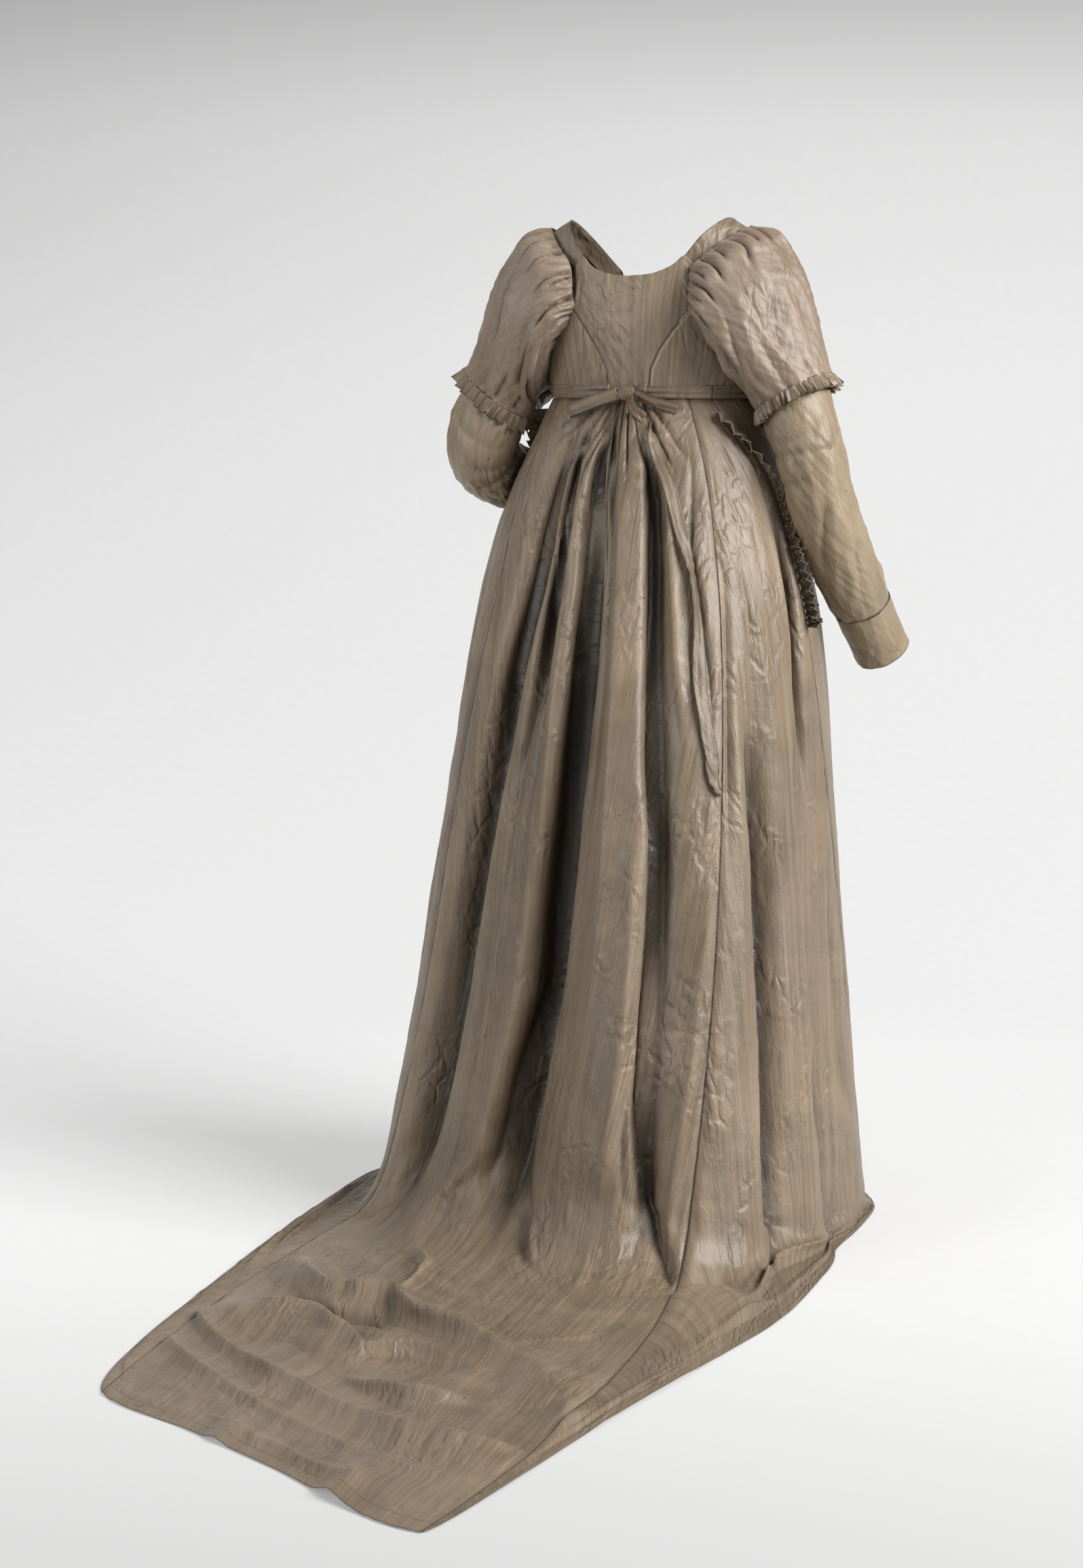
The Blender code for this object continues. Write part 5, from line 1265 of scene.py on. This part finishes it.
def frill(top, out, down, waves, swing, depth, flare, seed, closed, curl=0.5):
    """A gathered strip below a line of points: out stands off the cloth and down runs to its free edge."""
    count = len(top)
    s = np.arange(count) / (count if closed else count - 1)
    rng = np.random.default_rng(seed)
    knots = np.concatenate([[0], np.cumsum(rng.uniform(0.55, 1.5, waves))])
    turns = np.interp(s, knots / knots[-1], np.arange(waves + 1))

    def each(low, high):
        """A value for every wave, running smoothly into the next wave's."""
        values = rng.uniform(low, high, waves)
        k = np.floor(turns).astype(int) % waves
        share = ease(turns % 1)
        return values[k] * (1 - share) + values[(k + 1) % waves] * share

    phase = 2 * np.pi * turns
    size, twist, tilt, length = swing * each(0.5, 1.4), each(-0.9, 0.9), each(-0.35, 0.35), depth * each(0.86, 1.1)
    side = unit(np.roll(top, -1, 0) - np.roll(top, 1, 0)) if closed else unit(np.gradient(top, axis=0))
    step = np.linalg.norm(np.gradient(top, axis=0), axis=-1).mean() * count / waves
    rows = []
    for t in np.linspace(0, 1, 13):
        lean = t ** 0.7
        wave = size * np.sin(phase + twist * t) * (0.14 + 0.86 * lean)
        shift = step * lean * (curl / 2 * np.sin(2 * (phase + twist * t)) + tilt * t)
        rows.append(top + down * (length * t * (1 - 0.05 * np.cos(phase)))[:, None]
                    + out * (flare * lean + wave)[:, None] + side * shift[:, None])
    return np.stack(rows)


def pinked(grid, seed):
    """Fraying: moves the free edge of a strip a little in and out."""
    rng = np.random.default_rng(seed)
    grid = grid.copy()
    grid[-1] += (grid[-1] - grid[-2]) * rng.uniform(-0.25, 0.25, (grid.shape[1], 1))
    return grid


def crossed(grid, seed, depth=0.0005, seam=0.006):
    """Lengthwise streaky unevenness and a light crush over a flat panel; its threads fan up from the waist."""
    u, v = way_along(grid, 1), way_along(grid, 0)
    threads = np.stack([0.5 - grid[..., 0] / (1 + 1.8 * (grid[..., 2] - grid[..., 2].min())), v], -1)
    edge = np.minimum(u, u[:, -1:] - u)
    move = depth * drift(u, v, (0.010, 0.12), seed) + 0.6 * depth * drift(u, v, (0.004, 0.06), seed + 1)
    move = move + 0.0006 * facets(u, v, (0.020, 0.034), seed + 2)
    low = ease((0.030 - (v[-1:] - v)) / 0.030)
    move = move + 0.0010 * low * drift(u, v, (0.006, 0.05), seed + 3)
    grid = grid + outward(grid) * (0.0003 + move * ease(edge / seam))[..., None]
    return grid, threads, np.stack([edge, v[-1:] - v], -1)


class GOWN_OT_skirt(bpy.types.Operator):
    """Build the skirt's four panels with their folds and the spread train"""
    bl_idname = "gown.skirt"
    bl_label = "Skirt and train"

    def execute(self, context):
        cuts = {
            "skirt_front": ((0.85, 1.14), 0.80, "gathered"),
            "skirt_side_left": ((0.42, 1.75), 0.36, "gathered"),
            "skirt_back": ((0.75, 2.30), 1.10, "gathered"),
            "skirt_side_right": ((0.45, 2.20), 0.43, "gathered"),
        }
        for name, (flat, area, held) in cuts.items():
            panel = skirt_panel(name)
            uv = np.stack([panel.across - panel.across.mean(1, keepdims=True) + 0.4, panel.down], -1)
            edges = np.stack([panel.edge, panel.down[-1:] - panel.down], -1)
            # the painted hollow shade comes on in shallower hollows near the waist
            deep = linear((0.0, 0.1, 0.3), (0.35, 0.55, 1.0), panel.rows)[:, None]
            piece = cloth(name, panel.points, "skirt", uv=uv, edges=edges, reach=0.055, deep=deep)
        return {"FINISHED"}


def centre_half(height):
    """Half the width of the back's centre piece."""
    return linear(CENTRE_BACK["height"], CENTRE_BACK["half"], height)


def front_edge(height):
    return linear(FRONT_EDGE["height"], FRONT_EDGE["angle"], height)


def bodice_part(first, columns, rows, top, angle):
    """A part of the bodice from its lower seam up to a top, across from first (-1 or 0) to 1."""
    across = np.linspace(first, 1, columns)[None, :]
    height = BODICE_START + np.linspace(1, 0, rows)[:, None] * (top(across) - BODICE_START)
    return bodice_point(angle(across, height), height)


class GOWN_OT_bodice(bpy.types.Operator):
    """Build the bodice's back, side backs, front and shoulder straps"""
    bl_idname = "gown.bodice"
    bl_label = "Bodice"

    def execute(self, context):
        part = bodice_part(
            -1, 71, 64, lambda across: curve(BACK_NECK["across"], BACK_NECK["height"], np.abs(across)),
            lambda across, height: back_angle(across * (centre_half(height) - 0.0002), height))
        grid, uv, edges = crossed(frame_of(part), 31)
        edges[..., 1] = np.minimum(edges[..., 1], 1.0)
        piece = cloth("bodice_back_centre", grid, "bodice", uv=uv, edges=edges)
        for side in ("left", "right"):
            part = bodice_part(
                0, 44, 44, lambda across: smooth(SIDE_BACK_TOP["across"], SIDE_BACK_TOP["height"], across) + 0.012,
                lambda across, height: ((1 - across) * back_angle(centre_half(height) + 0.0002, height)
                                        + across * 89.9))
            grid, uv, edges = crossed(frame_of(mirrored(part, side)), 41 if side == "left" else 51)
            piece = cloth(f"bodice_side_back_{side}", grid, "topstitched" if side == "right" else "bodice",
                          uv=uv, edges=edges)
            self.strap(side)
        part = bodice_part(
            -1, 101, 44, lambda across: linear(FRONT_NECK["across"], FRONT_NECK["height"], np.abs(across)),
            lambda across, height: 180 + across * (180 - (front_edge(height) + 0.1)))
        grid, uv, edges = crossed(frame_of(part), 61, depth=0.0009)
        piece = cloth("bodice_front", grid, "bodice", uv=uv, edges=edges)
        return {"FINISHED"}

    def strap(self, side):
        def corner(table, across):
            height = linear(table["across"], table["height"], across) + 0.0003
            if table is BACK_NECK:
                return bodice_point(back_angle(across * centre_half(height), height), height)
            return bodice_point(180 - across * (180 - front_edge(height)), height)

        along = np.linspace(0, 1, 90)
        knots = (0.0, *STRAP["along"], 1.0)
        sides = []
        for name, at in (("inner", -2), ("outer", -1)):
            first, last = (corner(table, table["across"][at]) for table in (BACK_NECK, FRONT_NECK))
            sides.append(np.stack([curve(knots, (first[k], *STRAP[f"{name}_{axis}"], last[k]), along)
                                   for k, axis in enumerate(PLACE)], axis=-1))
        t = np.linspace(0, 1, 13)[None, :, None]
        grid = sides[0][:, None] * (1 - t) + sides[1][:, None] * t
        grid[..., 2] += STRAP["crown"] * np.sin(np.pi * t[..., 0])
        grid = frame_of(mirrored(grid, side))
        grid, uv, edges = crossed(grid, 71 if side == "left" else 76, depth=0.0004, seam=0.004)
        piece = cloth(f"shoulder_strap_{side}", grid, "bodice", uv=uv, edges=edges)


class GOWN_OT_sleeves(bpy.types.Operator):
    """Build both puffed oversleeves, both long sleeves and their cuffs"""
    bl_idname = "gown.sleeves"
    bl_label = "Double sleeves"

    def execute(self, context):
        for side in ("left", "right"):
            rings, around, down = oversleeve_rings(side)
            piece = sleeve_piece(f"oversleeve_{side}", side, rings, "oversleeve",
                                 f"oversleeve_{side}", around, down)
            seed = 900 if side == "right" else 950
            along, points, move, around, down = undersleeve_rings(side, 0.02, CUFF_START, 100, seed)
            lead = ease(np.minimum(along / 0.16, 1))[:, None]
            last = ease((CUFF_START - along) / 0.03)[:, None, None]
            inside = closed_normals(points) * (move * (0.2 + 0.8 * lead))[..., None]
            piece = sleeve_piece(f"undersleeve_{side}", side, points + inside * (0.4 + 0.6 * last), "undersleeve",
                                 [f"undersleeve_elbow_{side}", f"undersleeve_forearm_{side}"],
                                 around, down, hem_edge=False)
            _, points, move, around, down = undersleeve_rings(side, CUFF_START + 0.001, 1.0, 28, seed + 20)
            rings = points + closed_normals(points) * (0.5 * move + 0.0004)[..., None]
            piece = sleeve_piece(f"sleeve_cuff_{side}", side, rings, "undersleeve",
                                 f"sleeve_cuff_{side}", around, down)
        return {"FINISHED"}


class GOWN_OT_frills(bpy.types.Operator):
    """Build the frills at the oversleeves' hems and along the apron's slits"""
    bl_idname = "gown.frills"
    bl_label = "Frills"

    def execute(self, context):
        for side in ("left", "right"):
            self.sleeve(side)
            self.apron(side)
        return {"FINISHED"}

    def sleeve(self, side):
        clock = np.linspace(0, 360, SLEEVE_RUFFLE["waves"] * 14 + 1)[:-1]
        _, ring = sleeve_hem(side, clock)
        top = on_oversleeve(side, clock, SLEEVE_RUFFLE["seam"], WALL + 0.0006)
        tilt = np.radians(OVERSLEEVE_HEM[side]["tilt"])
        down = np.array([np.sin(tilt), 0, -np.cos(tilt)])
        down = unit(down - ring * np.sum(ring * down, -1, keepdims=True))
        grid = frill(top, ring, down, SLEEVE_RUFFLE["waves"], 0.0064, SLEEVE_RUFFLE["depth"],
                     SLEEVE_RUFFLE["flare"], 5 if side == "right" else 6, True)
        grid = clear_of_body(pinked(grid, 15), SLEEVE_RUFFLE["clear"])
        flat = np.broadcast_to(np.linspace(0, 0.52, len(clock) + 1), (len(grid), len(clock) + 1))
        deep = np.broadcast_to(np.linspace(0, 0.020, len(grid))[:, None], flat.shape)
        piece = cloth(f"sleeve_ruffle_{side}", sleeve_frame(grid, side), "frill",
                      uv=np.stack([flat, deep], -1), edges=np.stack([deep + 0.0005, 0.020 - deep], -1), closed=True,
                      reach=0.011)

    def apron(self, side):
        waves = APRON_RUFFLE["waves"]
        count = waves * 13 + 1
        girth, towards, seed = (4.0, -1, 8) if side == "right" else (1.0, 1, 9)
        heights = WAIST_HEIGHT - np.linspace(APRON_RUFFLE["start"], APRON_RUFFLE["lowest"], count)
        edge, normal = on_skirt([girth + towards * 0.002] * count, heights, WALL + 0.0004)
        beside, _ = on_skirt([girth + towards * 0.05] * count, heights, 0.0)
        along, across = unit(np.gradient(edge, axis=0)), beside - edge
        across = unit(across - along * np.sum(across * along, -1, keepdims=True)) + 0.75 * unit(normal)
        grid = frill(edge, unit(normal), unit(across), waves, 0.0072, APRON_RUFFLE["width"],
                     APRON_RUFFLE["stand"] + 0.003, seed, False)
        grid = np.swapaxes(pinked(grid, 18), 0, 1)
        grid = np.ascontiguousarray(grid[:, ::-1] if towards < 0 else grid)
        # the frill's hollows get a weaker painted shade
        piece = cloth(f"apron_ruffle_{side}", grid, "frill", reach=0.011, deep=2.4)


def folded_tape(first, last, count, seed):
    """A tape round the bodice's lower edge with lengthwise folds."""
    angles = np.linspace(first, last, count)[None, :]
    t = np.linspace(0.5, -0.5, 15)[:, None]
    heights = TAPE_HEIGHT + TAPE_WIDTH * t + 0 * angles
    grid = frame_of(bodice_point(angles + 0 * t, heights))
    u, v = way_along(grid, 1), way_along(grid, 0)
    wave = 0.0007 * np.sin(2 * np.pi * (2.2 * t + 0.35 * drift(u, v * 0, (0.05, 1.0), seed))) \
        + 0.0004 * drift(u, v, (0.012, 0.004), seed + 1)
    return grid + outward(grid) * (TAPE_LIFT - 0.0004 + wave * ease((0.5 - np.abs(t)) / 0.12))[..., None]


def ribbon(path, across, width, count, seed, fold=0.0009):
    """A flat, lightly creased ribbon along a smooth path of (right, back, height) points."""
    path = np.array(path)
    way = way_along(path, 0)
    at = np.linspace(0, way[-1], count)
    line = np.stack([curve(way, path[:, k], at) for k in range(3)], -1)
    t = np.linspace(-0.5, 0.5, 11)
    grid = frame_of(line[:, None] + unit(np.array(across, float)) * (t * width)[:, None])
    u, v = np.broadcast_to(t * width, grid.shape[:2]), np.broadcast_to(at[:, None], grid.shape[:2])
    wave = fold * (np.cos(2 * np.pi * (1.5 * t[None, :] + 0.3 * drift(u * 0, v, (1.0, 0.03), seed)))
                   + 0.5 * drift(u, v, (0.006, 0.010), seed + 1))
    return grid + outward(grid) * wave[..., None]


def selvedges(grid):
    """How far each point of a ribbon is from its nearer side and from its end."""
    across, down = way_along(grid, 1), way_along(grid, 0)
    return np.stack([np.minimum(across, across[:, -1:] - across), down[-1:] - down], -1)


class GOWN_OT_waist(bpy.types.Operator):
    """Build the apron's waistband, the waist tapes, the bow, its long end and the thread loops"""
    bl_idname = "gown.waist"
    bl_label = "Waist tape and bow"

    def execute(self, context):
        for name, first, last, count, length in (("apron_waistband", 60, 278, 150, 0.53),
                                                 ("waist_tape_left", -81.7, -0.3, 70, 0.17),
                                                 ("waist_tape_right", 0.3, 59.7, 54, 0.11)):
            piece = cloth(name, folded_tape(first, last, count, 101 + count), "tape")
        for name, bow in BOW_RIBBONS.items():
            grid = ribbon(bow["path"], bow["across"], bow["width"], 60, len(name))
            inside = "faded" if "loop" in name else None
            piece = cloth(name, grid, "tape", edges=selvedges(grid), inside=inside, thick=BOW_CLOTH)
        self.tie()
        self.knot()
        for side, sign in (("left", -1), ("right", 1)):
            self.loop(f"belt_loop_{side}", sign * BELT_LOOP["right"])
        return {"FINISHED"}

    def tie(self):
        heights = np.linspace(TIE["height"][0], TIE["height"][-1], 110)
        girths = curve(-np.array(TIE["height"]), TIE["girth"], -heights)
        points, beside = (on_skirt(girths + aside, heights, TIE["lift"])[0] for aside in (0, 0.02))
        across = unit(beside - points)
        points = np.concatenate([frame_of(np.array(TIE["start"])), points])
        across = np.concatenate([np.repeat(across[:1], 2, axis=0), across])
        t = np.linspace(-0.5, 0.5, 11)[None, :, None]
        narrow = linear((0, 0.03, 0.1, 0.94, 1), (0.45, 0.7, 1.0, 1.0, 0.5), np.linspace(0, 1, len(points)))
        grid = points[:, None] + across[:, None] * t * TIE["width"] * narrow[:, None, None]
        u, v = way_along(grid, 1), way_along(grid, 0)
        grid = grid + outward(grid) * (0.0003 * np.cos(4 * np.pi * t[..., 0] + 2 * drift(u * 0, v, (1, 0.05), 3))
                                       + 0.0009 * drift(u, v, (0.02, 0.03), 4))[..., None]
        piece = cloth("tie_long", grid, "tape", edges=selvedges(grid))

    def knot(self):
        """The wrap of tape round the knot: its folds run up and over, and its ends tuck in."""
        x = np.linspace(-1, 1, 45)[:, None]
        turn = np.linspace(0, 2 * np.pi, 57)[:-1][None, :]
        body = (1 - np.abs(x) ** 2.6) ** 0.5 * 0.9 + 0.06
        groove = 1 - 0.13 * np.abs(np.sin(2.6 * np.pi * x + 0.5 * np.sin(turn))) ** 0.6
        size = body * groove * (1 + 0.08 * np.sin(3 * turn + 4 * x))
        half = KNOT["half"]
        grid = KNOT["middle"] + np.stack([x * half[0] + 0.10 * half[0] * np.sin(turn),
                                          size * half[1] * np.cos(turn), size * half[2] * np.sin(turn)], -1)
        piece = cloth("bow_knot", frame_of(grid), "tape", closed=True)

    def loop(self, name, right):
        line = bpy.data.curves.new(name, "CURVE")
        line.dimensions = "3D"
        line.bevel_depth = BELT_LOOP["thread"]
        line.bevel_resolution = 3
        line.use_fill_caps = True
        path = np.array(BELT_LOOP["path"])
        at = np.linspace(0, len(path) - 1, 40)
        back, height = (curve(np.arange(len(path)), path[:, k], at) for k in (0, 1))
        for strand in (-1, 0, 1):
            spline = line.splines.new("POLY")
            spline.points.add(len(at) - 1)
            for point, b, h, k in zip(spline.points, back, height, at):
                twist = 0.45 * k + 2.1 * strand
                point.co = (*place(right + 0.00045 * math.cos(3 * twist), b + 0.00045 * math.sin(3 * twist), h), 1)
        piece = bpy.data.objects.new(f"{name}_thread", line)
        bpy.context.scene.collection.objects.link(piece)
        line.materials.append(finish_for("thread"))
        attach(piece, "root")
        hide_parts(name)


TOWARDS = np.array([-0.3907, 0.9205])      # along the floor from the gown to the camera
ASIDE = np.array([-0.9205, -0.3907])       # to the camera's right
SWEEP_TURN = 3.6                           # radius of the backdrop's turn from floor to wall
SWEEP_START = -1.3                         # where the turn starts, behind the gown
# Each lamp's place from the gown's middle as (aside, towards, up), its size, and where it aims if not there.
LAMPS = {
    "key": ((4.2, 2.7, 2.8), 4.0, None),
    "top": ((0.0, 0.4, 3.8), 3.6, None),
    "left": ((-3.8, 2.4, 1.4), 3.0, None),
    "wall": ((0.0, -0.5, 2.2), 2.5, (-TOWARDS[0], -TOWARDS[1], -0.3)),
    "floor": ((-2.6, -0.6, 1.8), 2.0, (0.0, 0.0, -1.0)),
}
GOWN_MIDDLE = Vector((0.0, 0.25, -0.75))
CAMERA = {"place": (-1.619, 4.201, -0.153), "way": (0.3872, -0.9122, -0.1343), "lens": 76.19}


class GOWN_OT_stage(bpy.types.Operator):
    """Build the pale floor and backdrop, the soft lights and the camera"""
    bl_idname = "gown.stage"
    bl_label = "Studio"

    def execute(self, context):
        look = context.scene.gown_stage
        self.sweep(look)
        world = bpy.data.worlds.new("studio air")
        world.use_nodes = True
        world.node_tree.nodes["Background"].inputs["Color"].default_value = (1.0, 1.0, 1.0, 1.0)
        world.node_tree.nodes["Background"].inputs["Strength"].default_value = look.fill
        context.scene.world = world
        for name, (way, size, aim) in LAMPS.items():
            light = bpy.data.lights.new(name, "AREA")
            light.shape, light.size, light.energy = "DISK", size, getattr(look, name)
            lamp = bpy.data.objects.new(name, light)
            lamp.visible_camera = False
            lamp.location = GOWN_MIDDLE + Vector((*(ASIDE * way[0] + TOWARDS * way[1]), way[2]))
            aim = Vector(aim) if aim else GOWN_MIDDLE - lamp.location
            lamp.rotation_euler = aim.to_track_quat("-Z", "Y").to_euler()
            context.scene.collection.objects.link(lamp)
        camera = bpy.data.objects.new("camera", bpy.data.cameras.new("camera"))
        camera.data.sensor_fit, camera.data.sensor_width, camera.data.lens = "AUTO", 36.0, CAMERA["lens"]
        camera.location = CAMERA["place"]
        camera.rotation_euler = Vector(CAMERA["way"]).to_track_quat("-Z", "Y").to_euler()
        context.scene.collection.objects.link(camera)
        context.scene.camera = camera
        context.scene.view_settings.view_transform = "Standard"
        return {"FINISHED"}

    def sweep(self, look):
        """The sheet of paper that is both floor and backdrop."""
        turn = np.linspace(0, np.pi / 2, 40)
        reach = np.concatenate([np.linspace(7.0, SWEEP_START, 30)[:-1], SWEEP_START - SWEEP_TURN * np.sin(turn),
                                np.full(19, SWEEP_START - SWEEP_TURN)])
        rise = np.concatenate([np.zeros(29), SWEEP_TURN * (1 - np.cos(turn)), np.linspace(SWEEP_TURN, 7.5, 20)[1:]])
        side = np.linspace(-7, 7, 61)
        flat = reach[:, None, None] * TOWARDS + side[None, :, None] * ASIDE
        grid = np.concatenate([flat, np.broadcast_to(rise[:, None, None] + FLOOR - 0.0002, (88, 61, 1))], -1)
        mesh = bpy.data.meshes.new("studio_sweep")
        index = np.arange(88 * 61).reshape(88, 61)
        faces = np.stack([index[:-1, :-1], index[:-1, 1:], index[1:, 1:], index[1:, :-1]], -1).reshape(-1, 4)
        mesh.from_pydata(grid.reshape(-1, 3).tolist(), [], faces.tolist())
        mesh.shade_smooth()
        sweep = bpy.data.objects.new("studio_sweep", mesh)
        bpy.context.scene.collection.objects.link(sweep)
        f = Finish("studio paper")
        at = f.node("TexCoord", {}, {}, 3)
        rise = f.part(at, 2)
        near, beside = (f.vector("DOT_PRODUCT", at, (*way, 0.0), 1) for way in (TOWARDS, ASIDE))
        tone = f.mixed(f.noise(at, 40.0, 40.0), tuple(0.97 * c for c in look.paper), tuple(look.paper))
        # painted shade standing in for the fall of the lamps' light: where the paper is darker, up the wall, towards
        # the camera on the floor and at the left, and its share of the full tone there
        for share, painted_shade in ((f.band(rise, FLOOR + 0.8, 2.0), 0.66), (f.band(rise, 0.30, 1.25), 0.42),
                            (f.band(near, -0.2, 2.0), 0.66),
                            (f.line(beside, -3.2, 0.6) * f.band(rise, FLOOR, 1.5) * 0.58, 0.4)):
            tone = f.mixed(share, tone, tuple(painted_shade * c for c in look.paper))
        paper = f.node("BsdfPrincipled", {}, {
            "Base Color": f.mixed(look.glow, tone, (0.0, 0.0, 0.0)), "Roughness": 0.9, "Specular IOR Level": 0.1,
            "Emission Color": tone, "Emission Strength": look.glow})
        # the sheet has no back, so it doesn't hide the gown's front
        behind = f.node("NewGeometry", {}, {}, 6)
        mesh.materials.append(f.done(f.node("MixShader", {}, {0: behind, 1: paper, 2: f.node("BsdfTransparent")})))


class GownSilk(bpy.types.PropertyGroup):
    light: bpy.props.FloatVectorProperty(
        name="Light tone", description="sRGB tone of the silk's light streaks", subtype="COLOR_GAMMA", size=3,
        min=0.0, max=1.0, default=(0.51, 0.445, 0.365))
    dark: bpy.props.FloatVectorProperty(
        name="Dark tone", description="sRGB tone of the silk's dark streaks", subtype="COLOR_GAMMA", size=3,
        min=0.0, max=1.0, default=(0.345, 0.297, 0.232))


class GownStage(bpy.types.PropertyGroup):
    paper: bpy.props.FloatVectorProperty(
        name="Paper", description="Colour of the floor and backdrop", subtype="COLOR", size=3, min=0.0, max=1.0,
        default=(0.80, 0.80, 0.797))
    glow: bpy.props.FloatProperty(
        name="Even light", description="Share of the paper's brightness that the lamps don't shape", min=0.0, max=1.0,
        default=0.42, subtype="FACTOR")
    key: bpy.props.FloatProperty(
        name="Key light", description="Power of the large soft light at the upper right", unit="POWER", min=0.0,
        default=640.0)
    wall: bpy.props.FloatProperty(
        name="Wall light", description="Power of the light on the backdrop", unit="POWER", min=0.0, default=14.0)
    top: bpy.props.FloatProperty(
        name="Top light", description="Power of the light above and behind", unit="POWER", min=0.0, default=18.0)
    floor: bpy.props.FloatProperty(
        name="Floor light", description="Power of the light on the floor at the left", unit="POWER", min=0.0,
        default=26.0)
    left: bpy.props.FloatProperty(
        name="Left light", description="Power of the weak light from the left", unit="POWER", min=0.0, default=105.0)
    fill: bpy.props.FloatProperty(
        name="Fill", description="Strength of the even light from all round", min=0.0, default=0.09)


class GOWN_PT_panel(bpy.types.Panel):
    bl_label = "Regency Gown"
    bl_idname = "GOWN_PT_panel"
    bl_space_type = "VIEW_3D"
    bl_region_type = "UI"
    bl_category = "Gown"

    def draw(self, context):
        for group in (context.scene.gown_silk, context.scene.gown_stage):
            for name in group.bl_rna.properties.keys():
                if name not in ("rna_type", "name"):
                    self.layout.prop(group, name)
        for step in STEPS:
            self.layout.operator(step.bl_idname)


STEPS = (GOWN_OT_skirt, GOWN_OT_bodice, GOWN_OT_sleeves, GOWN_OT_frills, GOWN_OT_waist, GOWN_OT_stage)
CLASSES = (GownSilk, GownStage, *STEPS, GOWN_PT_panel)


def register():
    for made in CLASSES:
        bpy.utils.register_class(made)
    bpy.types.Scene.gown_silk = bpy.props.PointerProperty(type=GownSilk)
    bpy.types.Scene.gown_stage = bpy.props.PointerProperty(type=GownStage)


def unregister():
    del bpy.types.Scene.gown_stage
    del bpy.types.Scene.gown_silk
    for made in reversed(CLASSES):
        bpy.utils.unregister_class(made)


def main():
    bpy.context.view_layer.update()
    register()
    for step in STEPS:
        area, name = step.bl_idname.split(".")
        getattr(getattr(bpy.ops, area), name)()


if __name__ == "__main__":
    main()
